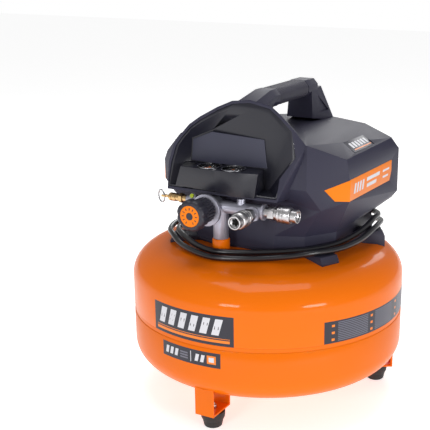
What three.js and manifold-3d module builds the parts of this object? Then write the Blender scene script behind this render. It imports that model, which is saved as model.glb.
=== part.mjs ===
// Pancake air compressor: a low round tank on three feet, with an oil-free pump, its motor, a faceted
// plastic cover with a carry handle, and an air manifold at the front.
// Millimetres, +Z up. The origin is on the floor, on the tank's axis. -Y is the front.
import * as THREE from 'three';
import { ConvexGeometry } from 'three/addons/geometries/ConvexGeometry.js';
import { mergeVertices } from 'three/addons/utils/BufferGeometryUtils.js';
import Module from 'manifold-3d';

const wasm = await Module();
wasm.setup();

// ---------------------------------------------------------------- driving dimensions
const gap = 0.3; // left between any two pieces that touch

const tank = {
  radius: 203,
  wall: 2.6,
  bottom: 39, // lowest point of the lower dome
  bottomRise: 12, // lower dome, from its centre to where the corner starts
  bottomCorner: { width: 45, height: 37.5 },
  bandHeight: 99.5, // straight side
  seam: 44.5, // seam groove, above the foot of the straight side
  grooveHeight: 5.4,
  grooveDepth: 1,
  lapHeight: 10, // of the lower shell's lip inside the upper shell
  topCorner: { width: 53, height: 40.6 },
  topRise: 12,
  sides: 40,
};
const bandLow = tank.bottom + tank.bottomRise + tank.bottomCorner.height;
const bandHigh = bandLow + tank.bandHeight;
const crown = bandHigh + tank.topCorner.height + tank.topRise; // top of the tank

const foot = {
  inset: 33, // from the tank's side to the foot's axis
  strapWidth: 30,
  strapThickness: 3,
  strapDepth: 48,
  topRadius: 17.5,
  bottomRadius: 13,
  height: 24,
  boltRadius: 3,
};

// the cover: half its width, its depth and its levels, measured from the tank's crown
const cover = {
  halfWidth: 150,
  flare: 5, // how much wider the cover is at its back
  wall: 5,
  rear: 130,
  front: -98,
  lean: 0.14, // backward lean of the front, per unit of height
  skirt: 0.5,
  waist: 22,
  ledge: 41,
  bandLow: 78,
  bandHigh: 108,
  shoulder: 138,
  plateau: 157,
  ridge: 213,
};

const handle = {
  halfWidth: 19,
  thickness: 24,
  top: 217,
  front: -16,
  rear: 150,
  postFront: 108,
  gripStart: 2,
  gripEnd: 98,
  gripThickness: 1.6,
};

const boss = { x: -25, y: -97, radius: 12.5, top: 15.5, bore: 6 };
const manifold = {
  barLevel: 62,
  bar: 9,
  right: 46,
  regulatorX: -40,
  regulatorRadius: 17,
  bore: 4,
};
const knob = { radius: 22.5, depth: 32, front: -155, lobes: 8, label: 15 };
const coupler = { sleeve: 12, nose: 9.5, bore: 5.6, hex: 10.5, length: 50, sleeveLength: 20, travel: 4 };
const frontCouplerX = 31;
const safety = { level: 66.5, body: 6.5, length: 30, ring: 9, ringWire: 1.1, ringTurn: 28, ringDroop: 14 };
const gauge = {
  radius: 17,
  rimWidth: 0.8, // of the bezel, past the case
  between: 2.4, // the two bezels
  middle: -24, // x of the point between the two
  y: -94.3,
  depth: 10.5,
  rim: 1.6,
  lens: 1.2,
};
const gaugeX = [-1, 1].map((side) => gauge.middle + side * (gauge.radius + gauge.rimWidth + gauge.between / 2));
const deck = {
  level: 117,
  front: gauge.y - gauge.radius - 1.7,
  back: gauge.y + gauge.radius + 2.3,
  left: -90,
  right: 40,
};
const powerSwitch = { x: -77, width: 16, length: 20, throw: 8 };

const crank = { x: -20, level: 82, throw: 12, shaft: 6, discRadius: 24 };
const flywheel = { radius: 52, width: 14, y: 34 };
const pinion = { radius: 10.4 };
const belt = { thickness: 2.5, width: 10 };
const motor = { x: 76, level: 74, radius: 41, armature: 22.6, air: 0.8, front: -40, shaft: 4 };
const cylinder = { bore: 23, wall: 4, start: -58, length: 46, y: -24, fins: 3, finHeight: 4 };
const frameWall = { y: 10, thickness: 8 };
const checkValve = { x: -62, y: 40, radius: 7.5, stem: 6, top: 26 };
const cord = { radius: 4.25, sides: 8, steps: 80 };

// ---------------------------------------------------------------- making and joining solids
function toSolid(geometry) {
  const bare = geometry.clone();
  bare.deleteAttribute('normal');
  bare.deleteAttribute('uv');
  const merged = mergeVertices(bare, 1e-4);
  const position = merged.getAttribute('position').array;
  const index = merged.index.array;
  const triangles = [];
  let volume = 0;
  const a = new THREE.Vector3();
  const b = new THREE.Vector3();
  const c = new THREE.Vector3();
  for (let i = 0; i < index.length; i += 3) {
    const [p, q, r] = [index[i], index[i + 1], index[i + 2]];
    if (p === q || q === r || r === p) continue;
    triangles.push(p, q, r);
    a.fromArray(position, 3 * p);
    b.fromArray(position, 3 * q);
    c.fromArray(position, 3 * r);
    volume += a.dot(b.cross(c));
  }
  if (volume < 0) triangles.reverse();
  return new wasm.Manifold(new wasm.Mesh({
    numProp: 3,
    vertProperties: Float32Array.from(position),
    triVerts: Uint32Array.from(triangles),
  }));
}

const join = (solids) => solids.reduce((sum, solid) => sum.add(solid));
const cut = (solid, tools) => tools.reduce((rest, tool) => rest.subtract(tool), solid);

const vector = (p) => new THREE.Vector3(...p);
const mirrorX = (points) => points.concat(points.map(([x, y, z]) => [-x, y, z]));

// a convex body around a list of corners
const hull = (points) => toSolid(new ConvexGeometry(points.map(vector)));

function box(low, high) {
  const size = high.map((v, i) => v - low[i]);
  const centre = high.map((v, i) => (v + low[i]) / 2);
  return toSolid(new THREE.BoxGeometry(...size).translate(...centre));
}

// places a shape that was made along +Z so that its axis runs from `from` towards `along`
function aim(geometry, from, along) {
  const turn = new THREE.Quaternion().setFromUnitVectors(
    new THREE.Vector3(0, 0, 1), vector(along).normalize());
  return geometry.applyQuaternion(turn).translate(...from);
}

// a turned body: profile points are [radius, distance along the axis]
function turned(profile, from = [0, 0, 0], along = [0, 0, 1], sides = 24) {
  const points = profile.map(([r, z]) => new THREE.Vector2(Math.max(r, 0), z));
  const geometry = new THREE.LatheGeometry(points, sides).rotateX(Math.PI / 2);
  return toSolid(aim(geometry, from, along));
}

const rod = (radius, length, from, along, sides = 20) =>
  turned([[0, 0], [radius, 0], [radius, length], [0, length]], from, along, sides);

const tube = (outer, inner, length, from, along, sides = 24) =>
  turned([[inner, 0], [outer, 0], [outer, length], [inner, length], [inner, 0]], from, along, sides);

// a flat outline [x, y] in the plane square to +Z, pushed along `along`
function pushed(outline, depth, from, along) {
  const shape = new THREE.Shape(outline.map(([x, y]) => new THREE.Vector2(x, y)));
  const geometry = new THREE.ExtrudeGeometry(shape, { depth, bevelEnabled: false });
  return toSolid(aim(geometry, from, along));
}

// an outline in [x, z] pushed along +Y from y = start
function slab(outline, start, depth) {
  const shape = new THREE.Shape(outline.map(([x, z]) => new THREE.Vector2(x, z)));
  const geometry = new THREE.ExtrudeGeometry(shape, { depth, bevelEnabled: false });
  return toSolid(geometry.rotateX(Math.PI / 2).translate(0, start + depth, 0));
}

// a round section swept along a smooth path through the points
function swept(points, radius, sides, steps) {
  const section = new THREE.Shape();
  for (let i = 0; i < sides; i += 1) {
    const a = (2 * Math.PI * i) / sides;
    const [x, y] = [radius * Math.cos(a), radius * Math.sin(a)];
    if (i === 0) section.moveTo(x, y);
    else section.lineTo(x, y);
  }
  const path = new THREE.CatmullRomCurve3(points.map(vector), false, 'centripetal');
  return toSolid(new THREE.ExtrudeGeometry(section, { steps, extrudePath: path, bevelEnabled: false }));
}

// ---------------------------------------------------------------- the object and its pieces
const group = new THREE.Group();
group.name = 'pancake_air_compressor';

function piece(name, solid, color, roughness, metalness) {
  const { numProp, vertProperties, triVerts } = solid.getMesh();
  const positions = new Float32Array((vertProperties.length / numProp) * 3);
  for (let i = 0; i < positions.length / 3; i += 1) {
    for (let k = 0; k < 3; k += 1) positions[3 * i + k] = vertProperties[numProp * i + k];
  }
  const geometry = new THREE.BufferGeometry();
  geometry.setAttribute('position', new THREE.BufferAttribute(positions, 3));
  geometry.setIndex(Array.from(triVerts));
  geometry.computeVertexNormals();
  const material = new THREE.MeshStandardMaterial({ color, roughness, metalness });
  const mesh = new THREE.Mesh(geometry, material);
  mesh.name = name;
  group.add(mesh);
}

const orangePaint = [0xe8700c, 0.25, 0.1];
const charcoal = [0x3f3f49, 0.6, 0];
const blackPlastic = [0x17171d, 0.35, 0];
const orangeTrim = [0xff7d00, 0.45, 0];
const castZinc = [0xb4b4bc, 0.45, 0.85];
const nickel = [0xd0cfce, 0.25, 1];
const brass = [0xc79a4b, 0.35, 1];
const rubber = [0x141416, 0.85, 0];
const steel = [0x9a9ca0, 0.35, 0.9];
const copper = [0xb87348, 0.4, 0.9];
const greyLabel = [0xb9bcc2, 0.5, 0];

// ---------------------------------------------------------------- tank
// quarter ellipse from the straight side to the dome, then the shallow dome to the axis
function headProfile(corner, rise, offset, domeSteps = 3, cornerSteps = 6) {
  const points = [];
  const inner = tank.radius - corner.width;
  for (let i = 0; i <= cornerSteps; i += 1) {
    const a = (Math.PI / 2) * (i / cornerSteps);
    points.push([inner + (corner.width + offset) * Math.cos(a), (corner.height + offset) * Math.sin(a)]);
  }
  for (let i = 1; i <= domeSteps; i += 1) {
    const r = inner * (1 - i / domeSteps);
    points.push([r, corner.height + offset + rise * (1 - (r / inner) ** 2)]);
  }
  return points;
}

const topHead = (offset, ...steps) =>
  headProfile(tank.topCorner, tank.topRise, offset, ...steps).map(([r, z]) => [r, bandHigh + z]);
const bottomHead = (offset, ...steps) =>
  headProfile(tank.bottomCorner, tank.bottomRise, offset, ...steps).map(([r, z]) => [r, bandLow - z]);
const insideSteps = [1, 3]; // the inside of a head is made with fewer faces

const seamLow = bandLow + tank.seam;
const seamHigh = seamLow + tank.grooveHeight;

// the whole tank as one solid, grown by an offset: what stands on the tank is cut with it
const tankEnvelope = turned(
  bottomHead(gap).reverse().concat(topHead(gap)), [0, 0, 0], [0, 0, 1], tank.sides);

const topHoles = [
  { x: boss.x, y: boss.y, radius: boss.radius - 3 },
  { x: checkValve.x, y: checkValve.y, radius: checkValve.stem },
];
const upperWall = [[tank.radius, seamHigh + gap]]
  .concat(topHead(0))
  .concat(topHead(-tank.wall, ...insideSteps).reverse())
  .concat([[tank.radius - tank.wall, seamHigh + gap], [tank.radius, seamHigh + gap]]);
const upperShell = cut(
  turned(upperWall, [0, 0, 0], [0, 0, 1], tank.sides),
  topHoles.map(({ x, y, radius }) => rod(radius + gap, 60, [x, y, crown - 40], [0, 0, 1])));
piece('tank_upper_shell', upperShell, ...orangePaint);

const lipRadius = tank.radius - tank.wall - gap;
const grooveRadius = tank.radius - tank.grooveDepth;
const lowerWall = bottomHead(0).reverse().concat([
  [tank.radius, seamLow],
  [grooveRadius, seamLow],
  [grooveRadius, seamHigh],
  [lipRadius, seamHigh],
  [lipRadius, seamHigh + tank.lapHeight],
  [lipRadius - tank.wall, seamHigh + tank.lapHeight],
  [lipRadius - tank.wall, seamLow],
  [tank.radius - tank.wall, seamLow - tank.wall],
]).concat(bottomHead(-tank.wall, ...insideSteps));
const drain = { x: 0, y: 112, radius: 7 };
const lowerShell = cut(
  turned(lowerWall, [0, 0, 0], [0, 0, 1], tank.sides),
  [rod(drain.radius + gap, 60, [drain.x, drain.y, tank.bottom - 10], [0, 0, 1])]);
piece('tank_lower_shell', lowerShell, ...orangePaint);

// welded outlet fitting that carries the manifold
const bossTop = crown + boss.top;
const outletBoss = cut(join([
  cut(rod(boss.radius, boss.top + 40, [boss.x, boss.y, crown - 40], [0, 0, 1], 28), [tankEnvelope]),
  rod(boss.radius - 3, boss.top + 12 + tank.wall, [boss.x, boss.y, crown - 12 - tank.wall], [0, 0, 1], 28),
]), [rod(boss.bore, 80, [boss.x, boss.y, crown - 50], [0, 0, 1])]);
piece('outlet_boss', outletBoss, ...orangePaint);

// drain cock under the tank, on the side away from the front
const drainAcross = drain.y / (tank.radius - tank.bottomCorner.width);
const drainTop = bandLow - tank.bottomCorner.height - tank.bottomRise * (1 - drainAcross ** 2) + 5.97;
piece('drain_cock_body', cut(join([
  turned([[0, 0], [5, 0], [5, 6], [9, 6], [9, 14], [0, 14]], [drain.x, drain.y, drainTop - 22], [0, 0, 1], 6),
  rod(drain.radius, 14, [drain.x, drain.y, drainTop - 10], [0, 0, 1], 16),
]), [
  rod(2.2, 80, [drain.x, drain.y, 0], [0, 0, 1], 12),
]), ...brass);
const cockTop = drainTop - 22 - gap;
piece('drain_cock_key', join([
  rod(8, 6, [drain.x, drain.y, cockTop - 6], [0, 0, 1], 16),
  box([drain.x - 14, drain.y - 1.6, cockTop - 12], [drain.x + 14, drain.y + 1.6, cockTop - 3]),
]), ...brass);

// ---------------------------------------------------------------- feet
const footRadius = tank.radius - foot.inset;
for (const [name, degrees] of [['front', -90], ['right', 30], ['left', 150]]) {
  const angle = (degrees * Math.PI) / 180;
  const out = [Math.cos(angle), Math.sin(angle)];
  const at = (r, t, z) => [r * out[0] - t * out[1], r * out[1] + t * out[0], z];
  const bar = (r0, r1, t, z0, z1) => hull(
    [r0, r1].flatMap((r) => [-t, t].flatMap((side) => [z0, z1].map((z) => at(r, side, z)))));
  const half = foot.strapWidth / 2;
  const inner = footRadius - foot.strapDepth / 2;
  const outer = footRadius + foot.strapDepth / 2;
  const low = foot.height;
  const strap = join([
    bar(inner, outer, half, low, low + foot.strapThickness),
    bar(outer - foot.strapThickness, outer, half, low, bandLow),
    bar(inner, inner + foot.strapThickness, half, low, bandLow),
  ]);
  const centre = at(footRadius, 0, 0);
  piece(`foot_bracket_${name}`, cut(strap, [
    tankEnvelope,
    rod(foot.boltRadius + gap, 40, [centre[0], centre[1], low - 10], [0, 0, 1], 14),
  ]), ...orangePaint);
  const pad = turned([
    [foot.boltRadius + gap, 10], [7, 10], [7, 0], [foot.bottomRadius - 1.5, 0],
    [foot.bottomRadius, 1.5], [foot.topRadius, low - 6], [foot.topRadius, low - gap],
    [foot.boltRadius + gap, low - gap], [foot.boltRadius + gap, 10],
  ], centre, [0, 0, 1], 24);
  piece(`rubber_foot_${name}`, pad, ...rubber);
  const nutLow = low + foot.strapThickness + gap;
  piece(`foot_bolt_${name}`, turned([
    [0, 5.5], [5.4, 5.5], [5.4, 10 - gap], [foot.boltRadius, 10 - gap], [foot.boltRadius, nutLow],
    [5.4, nutLow], [5.4, nutLow + 5], [foot.boltRadius, nutLow + 5], [foot.boltRadius, nutLow + 8],
    [0, nutLow + 8],
  ], centre, [0, 0, 1], 12), ...steel);
}

// ---------------------------------------------------------------- cover
const up = (level) => crown + level;
const side = cover.halfWidth;
const wide = side + cover.flare;
const frontY = (level) => cover.front + cover.lean * (level - cover.bandHigh);

// corners of the two side pods, right half; the left pod's front shoulder is cut back further
const rightShoulder = [[side - 4, -50, cover.shoulder - 1]];
const leftShoulder = [[side - 11, -55, cover.shoulder - 14], [side - 27, -53, cover.shoulder + 6]];
const podCorners = [
  [side - 50, -79, cover.plateau],
  [side, -47, cover.bandHigh],
  [side, -46, cover.bandLow],
  [side - 32, -70, cover.bandLow - 12],
  [side - 49, -82, cover.bandLow + 17],
  [wide, cover.rear, cover.shoulder - 17],
  [wide, cover.rear, cover.ledge + 14],
  [side - 7, cover.rear + 9, cover.ledge],
  [side, cover.rear - 23, cover.shoulder + 2],
  [side - 12, cover.rear + 12, cover.shoulder - 4],
  [side - 62, cover.rear + 27, cover.shoulder + 11],
  [32, cover.rear + 37, cover.plateau - 4],
  [32, cover.rear + 33, cover.ledge + 20],
];
// outline of the arched front, [x, level], anticlockwise from its lower left corner
const archOutline = [
  [-110, 79], [66, 79], [72, 110], [82, 124], [94, 142], [85, 178], [64, 196], [48, 207], [16, cover.ridge],
  [-12, cover.ridge - 3], [-35, 200], [-62, 185], [-79, 173], [-94, 156], [-103, 143], [-110, 117],
];
const rimDepth = 8;
const archCorners = archOutline.flatMap(([x, level]) => [
  [x, frontY(level), level],
  [x, frontY(level) + rimDepth, Math.max(level - 4, archOutline[0][1])],
]).concat(mirrorX([[50, -45, cover.plateau + 3], [side - 52, -77, cover.plateau - 1], [80, -20, 79]]));
// lower body, from under the pods to the skirt
const skirtOutline = mirrorX([[118, -15], [120, 116], [88, 146], [88, -58], [48, -74]]);
const flareCorners = mirrorX([
  [side, -46, cover.bandLow],
  [side - 32, -69, cover.bandLow - 12],
  [60, -74, cover.bandLow],
  [wide, cover.rear, cover.ledge + 14],
  [side - 7, cover.rear + 9, cover.ledge],
  [32, cover.rear + 33, cover.ledge + 20],
]).concat(skirtOutline.map(([x, y]) => [x, y, cover.waist]));
const skirtCorners = skirtOutline.flatMap(([x, y]) => [[x, y, cover.skirt], [x, y, cover.bandLow]]);
const podHulls = mirrorX(podCorners).concat(rightShoulder, leftShoulder.map(([x, y, z]) => [-x, y, z]));

// moves each corner towards the body's middle, to make room for a wall
function shrink(points, wall) {
  const middle = points.reduce((sum, p) => sum.add(vector(p)), new THREE.Vector3())
    .divideScalar(points.length);
  return points.map((p) => {
    const step = middle.clone().sub(vector(p));
    step.setLength(wall);
    return vector(p).add(step).toArray();
  });
}
const lift = (points) => points.map(([x, y, z]) => [x, y, up(z)]);
const coverBodies = (wall) => join(
  [podHulls, archCorners, flareCorners, skirtCorners].map((points) => hull(lift(shrink(points, wall)))));

const outlineInset = (outline, inset) => {
  const shape = outline.map(([x, z]) => new THREE.Vector2(x, z));
  return shape.map((p, i) => {
    const before = shape[(i + shape.length - 1) % shape.length];
    const after = shape[(i + 1) % shape.length];
    const normal = after.clone().sub(before).normalize();
    return [p.x - normal.y * inset, p.y + normal.x * inset];
  });
};
// prism of an outline of the front, between two distances behind the leaning front plane
function frontPrism(outline, from, to) {
  const lean = new THREE.Matrix4().set(
    1, 0, 0, 0,
    0, 1, cover.lean, cover.front - cover.lean * up(cover.bandHigh),
    0, 0, 1, 0,
    0, 0, 0, 1);
  const shape = new THREE.Shape(outline.map(([x, level]) => new THREE.Vector2(x, up(level))));
  const geometry = new THREE.ExtrudeGeometry(shape, { depth: to - from, bevelEnabled: false });
  return toSolid(geometry.rotateX(Math.PI / 2).translate(0, to, 0).applyMatrix4(lean));
}
const rimWidth = 4;
const opening = outlineInset(archOutline, rimWidth);

// plates let into the cover: an outline in a plane that stands on the line from a to b
function wallPlate(outline, a, b, from, to, tilt = 0) {
  const along = new THREE.Vector3(b[0] - a[0], b[1] - a[1], 0).normalize();
  const upward = new THREE.Vector3(-tilt * along.y, tilt * along.x, 1).normalize();
  const outward = new THREE.Vector3().crossVectors(along, upward);
  const shape = new THREE.Shape(outline.map(([s, z]) => new THREE.Vector2(s, z)));
  const geometry = new THREE.ExtrudeGeometry(shape, { depth: to - from, bevelEnabled: false });
  geometry.translate(0, 0, from);
  const basis = new THREE.Matrix4().makeBasis(along, upward, outward);
  basis.setPosition(a[0], a[1], up(a[2]));
  return geometry.applyMatrix4(basis);
}
const grow = (outline, amount) => outlineInset(outline, -amount);
const plateDepth = 1.6;
const bandFront = [side - 29, -67];
const bandCorner = [side, -47];
const bandBack = [wide, cover.rear];
const bandSlope = Math.hypot(bandCorner[0] - bandFront[0], bandCorner[1] - bandFront[1]);
const bandLength = 150;
const bandHeight = cover.bandHigh - cover.bandLow;
function bandPlate(extra, from, to) {
  const front = [[0, bandHeight - 13], [15, 1], [bandSlope + 1, 0], [bandSlope + 1, bandHeight]];
  const back = [[0, 0], [bandLength - 6, 0], [bandLength, 14], [bandLength, bandHeight], [0, bandHeight]];
  return [
    wallPlate(grow(front, extra), [...bandFront, cover.bandLow], [...bandCorner, 0], from, to),
    wallPlate(grow(back, extra), [...bandCorner, cover.bandLow], [...bandBack, 0], from, to),
  ];
}
// the band's pointed front part is on the right pod only
function bandSolids(extra, from, to) {
  const [tip, long] = bandPlate(extra, from, to).map(bothSides);
  return { right: [tip[0], long[0]], left: [long[1]] };
}
const badge = { length: 78, height: 24, start: 30 };
const shoulderTilt = 2.35; // the pods' upper side leans in this far for each unit of height
function badgePlate(extra, from, to) {
  const outline = [[0, 0], [badge.length - 10, 0], [badge.length, badge.height], [10, badge.height]];
  const from3 = [side - 7, -45 + badge.start, cover.shoulder + 2];
  return wallPlate(grow(outline, extra), from3, [side - 7 + 2, 100, 0], from, to, shoulderTilt);
}
const bothSides = (geometry) => [toSolid(geometry), toSolid(geometry.clone().scale(-1, 1, 1))];

// the console that stands out below the deck: its left part ends higher, over the regulator
const consoleStep = -25;
const consoleBodies = (wall, back) => [
  [
    [deck.left + 10 + wall, deck.front + wall, deck.level - wall],
    [12, deck.front + wall, deck.level - wall],
    [deck.left - 2 + wall, deck.front + 4 + wall, 87 + wall],
    [consoleStep + wall, deck.front + 3 + wall, 87 + wall],
    [-96 + wall, back, deck.level - wall],
    [-97 + wall, back, 87 + wall],
    [30 - wall, back, deck.level - wall],
    [consoleStep + wall, back, 87 + wall],
  ],
  [
    [consoleStep + wall, deck.front + wall, deck.level - wall],
    [12, deck.front + wall, deck.level - wall],
    [deck.right - wall, deck.front + 6 + wall, deck.level - wall],
    [consoleStep + wall, deck.front + 3 + wall, 84 + wall],
    [6, deck.front + 3 + wall, 82 + wall],
    [33 - wall, deck.front + 8 + wall, 82 + wall],
    [consoleStep + wall, back, deck.level - wall],
    [consoleStep + wall, back, 84 + wall],
    [32 - wall, back, deck.level - wall],
    [32 - wall, back, 82 + wall],
  ],
].map((points) => hull(lift(points)));

const ventSlots = [];
for (let row = 0; row < 6; row += 1) {
  for (const x of [-58, 4]) {
    const level = cover.ledge + 34 + 9 * row;
    ventSlots.push(box([x, cover.rear + 10, up(level)], [x + 54, cover.rear + 50, up(level + 4)]));
  }
}
const gland = { x: 22, y: 152, level: 26, width: 24, height: 16, depth: 17 };
const outerCover = coverBodies(0);
const coverSolid = cut(outerCover, [
  coverBodies(cover.wall),
  hull(lift(shrink(skirtOutline.map(([x, y]) => [x, y, 0]), cover.wall)
    .flatMap(([x, y]) => [[x, y, -6], [x, y, cover.bandLow]]))),
  frontPrism(opening, -30, rimDepth - 2),
  ...Object.values(bandSolids(gap, -plateDepth - gap, 8)).flat(),
  ...bothSides(badgePlate(gap, -plateDepth, 30)),
  ...ventSlots,
  ...consoleBodies(-gap - 0.1, deck.back + 20),
]);

piece('shroud_cover', coverSolid, ...charcoal);

for (const [name, index] of [['right', 0], ['left', 1]]) {
  piece(`side_band_${name}`, join(bandSolids(0, -plateDepth, 0)[name]), ...orangeTrim);
  piece(`top_badge_${name}`, bothSides(badgePlate(0, -plateDepth + gap, 0))[index], ...greyLabel);
}

// base ring under the cover, shaped to the tank, with four legs that carry the wound cord
const legs = [
  { x: 116, y: -56, reach: 17, half: 19, top: 0 },
  { x: 140, y: 72, reach: 17, half: 16, top: 7.3 },
];
function leg({ x, y, reach, half, top }, sign) {
  const d = new THREE.Vector2(x, y).normalize();
  const at = (r, t, level) => [sign * (x + r * d.x - t * d.y), y + r * d.y + t * d.x, up(level)];
  const depths = [[-34, top], [reach - 5, top], [reach, top - 8], [reach, -40], [-34, -12]];
  return hull(depths.flatMap(([r, level]) => [-half, half].map((t) => at(r, t * (r > 0 ? 0.8 : 1), level))));
}
const ringOutline = skirtOutline.map(([x, y]) => [x * 1.01, y * 1.01]);
const baseRing = cut(join([
  hull(ringOutline.flatMap(([x, y]) => [[x, y, up(-14)], [x, y, up(cover.skirt - gap)]])),
  ...legs.flatMap((spot) => [leg(spot, 1), leg(spot, -1)]),
]), [
  tankEnvelope,
  rod(74, 60, [0, 28, up(-30)], [0, 0, 1], 32),
  hull(lift(skirtOutline.flatMap(([x, y]) => [
    [x * 1.005, y * 1.005, cover.skirt - gap], [x * 1.005, y * 1.005, cover.bandLow]]))),
]);
piece('shroud_base', baseRing, ...charcoal);

// ---------------------------------------------------------------- front panel, gauges and switch
const dishBack = [[-86, 88], [-86, 119], [-83, 151], [-48, 166], [35, 161], [40, 119], [40, 88]];
const panelInset = outlineInset(archOutline, rimWidth + 2 * gap);
const dishInset = outlineInset(archOutline, rimWidth + 2.6);
const dish = (front, frontDepth, back) => hull(lift(
  front.map(([x, level]) => [x, frontY(level) + frontDepth, level]).concat(
    dishBack.map(([x, level]) => [x, back, level]))));
const gaugeTop = up(deck.level) + gauge.rim;
const gaugeHole = (x) => rod(gauge.radius + gap, 10, [x, gauge.y, up(deck.level) - 3.6], [0, 0, 1], 24);
const rockerWell = (grown) => box(
  [powerSwitch.x - powerSwitch.width / 2 - grown, gauge.y - powerSwitch.length / 2 - grown, up(80)],
  [powerSwitch.x + powerSwitch.width / 2 + grown, gauge.y + powerSwitch.length / 2 + grown, up(deck.level) + 9]);
const panelWall = 2.6;
const panelSolid = cut(join([
  dish(panelInset, 1, deck.back + panelWall).intersect(frontPrism(panelInset, 0, 60)),
  ...consoleBodies(0, deck.back + panelWall),
]), [
  cut(dish(dishInset, -1, deck.back), consoleBodies(0, deck.back + 2)),
  ...consoleBodies(3, deck.back + 20),
  ...gaugeX.map(gaugeHole),
  rockerWell(gap),
]);
piece('front_panel', panelSolid, ...blackPlastic);

const needleSweep = gauge.radius - 6;
for (const [name, x] of [['tank', gaugeX[0]], ['line', gaugeX[1]]]) {
  const at = [x, gauge.y, gaugeTop];
  const r = gauge.radius;
  piece(`${name}_gauge_case`, turned([
    [0, -gauge.depth], [r - 2.5, -gauge.depth], [r - 2.5, -5], [r, -5], [r, gap - gauge.rim],
    [r + gauge.rimWidth, gap - gauge.rim], [r + gauge.rimWidth, 0], [r - 1, 0], [r - 1, -4.4], [0, -4.4],
  ], at, [0, 0, 1], 24), ...steel);
  piece(`${name}_gauge_needle`, join([
    rod(2.2, 1.6, [x, gauge.y, gaugeTop - 3.8], [0, 0, 1], 12),
    hull([-1, 1].flatMap((s) => [-3.6, -2.8].flatMap((z) => [
      [x + 1.2 * s, gauge.y + 3, gaugeTop + z], [x - needleSweep * 0.7, gauge.y - needleSweep * 0.7 + s * 0.5,
        gaugeTop + z]]))),
  ]), ...orangeTrim);
  piece(`${name}_gauge_lens`, rod(r - 1 - gap, gauge.lens, [x, gauge.y, gaugeTop - gauge.lens - 0.3],
    [0, 0, 1], 24), 0xeef4f8, 0.05, 0);
}
const rockerTilt = (powerSwitch.throw * Math.PI) / 180;
const rocker = new THREE.CylinderGeometry(powerSwitch.length / 2 - 1, powerSwitch.length / 2 - 1,
  powerSwitch.width - 1.2, 16).rotateZ(Math.PI / 2);
rocker.scale(1, 1, 0.9).rotateX(rockerTilt).translate(powerSwitch.x, gauge.y, up(deck.level) - 6);
piece('power_switch', toSolid(rocker).intersect(
  hull([-9, 9].flatMap((x) => [[-9, 5.2], [9, 7.6], [-9, -8], [9, -8]].map(([y, z]) =>
    [powerSwitch.x + x, gauge.y + y, up(deck.level) - 6 + z])))), 0xb3201c, 0.4, 0);

// ---------------------------------------------------------------- carry handle
const h = handle;
const barSection = (half, low, high, y) => [
  [-half + 5, y, low], [half - 5, y, low], [-half, y, low + 7], [half, y, low + 7],
  [-half, y, high - 8], [half, y, high - 8], [-half + 7, y, high], [half - 7, y, high],
];
const barLow = h.top - h.thickness;
const handleBody = join([
  hull(lift(barSection(h.halfWidth, barLow, h.top, h.front).concat(
    barSection(h.halfWidth, barLow, h.top, h.rear - 20), [[-10, h.rear - 3, h.top - 12], [10, h.rear - 3, h.top - 12]]))),
  hull(lift(barSection(h.halfWidth, barLow, h.top, h.front).concat(
    mirrorX([[24, -58, cover.ridge - 16], [14, -74, cover.ridge - 8], [26, -44, cover.ridge - 28]])))),
  hull(lift(mirrorX([
    [h.halfWidth, h.postFront, barLow + 8], [h.halfWidth, h.rear - 28, barLow + 8],
    [h.halfWidth - 4, h.rear, h.top - 14], [h.halfWidth + 3, h.postFront - 2, cover.plateau + 2],
    [32, h.rear + 17, cover.plateau - 9],
  ]))),
]);
const pocket = (sign) => hull(lift([0, 9].flatMap((d) => [
  [sign * (33 - d), h.rear + 5, cover.plateau + 9], [sign * (33 - d), h.postFront + 14, cover.plateau + 9],
  [sign * (30 - d), h.postFront + 19, h.top - 26], [sign * (45 - d), h.rear + 5, cover.plateau + 9]])));
const gripZone = (outer) => hull(lift([h.gripStart, h.gripEnd].flatMap((y) =>
  barSection(h.halfWidth + (outer ? 1 : -h.gripThickness), barLow + (outer ? -1 : h.gripThickness),
    h.top + (outer ? 1 : -h.gripThickness), y))));
const gripCut = cut(gripZone(true), [gripZone(false)]);
piece('carry_handle', cut(handleBody, [
  hull(lift(shrink(archCorners, -0.45))),
  hull(lift(shrink(podHulls, -0.45))),
  pocket(1), pocket(-1), gripCut,
]), ...charcoal);
const gripBody = cut(hull(lift([h.gripStart + gap, h.gripEnd - gap].flatMap((y) =>
  barSection(h.halfWidth, barLow, h.top, y)))), [hull(lift([h.gripStart, h.gripEnd].flatMap((y) =>
  barSection(h.halfWidth - h.gripThickness + gap, barLow + h.gripThickness - gap,
    h.top - h.gripThickness + gap, y))))]);
piece('handle_grip', gripBody, ...rubber);

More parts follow.
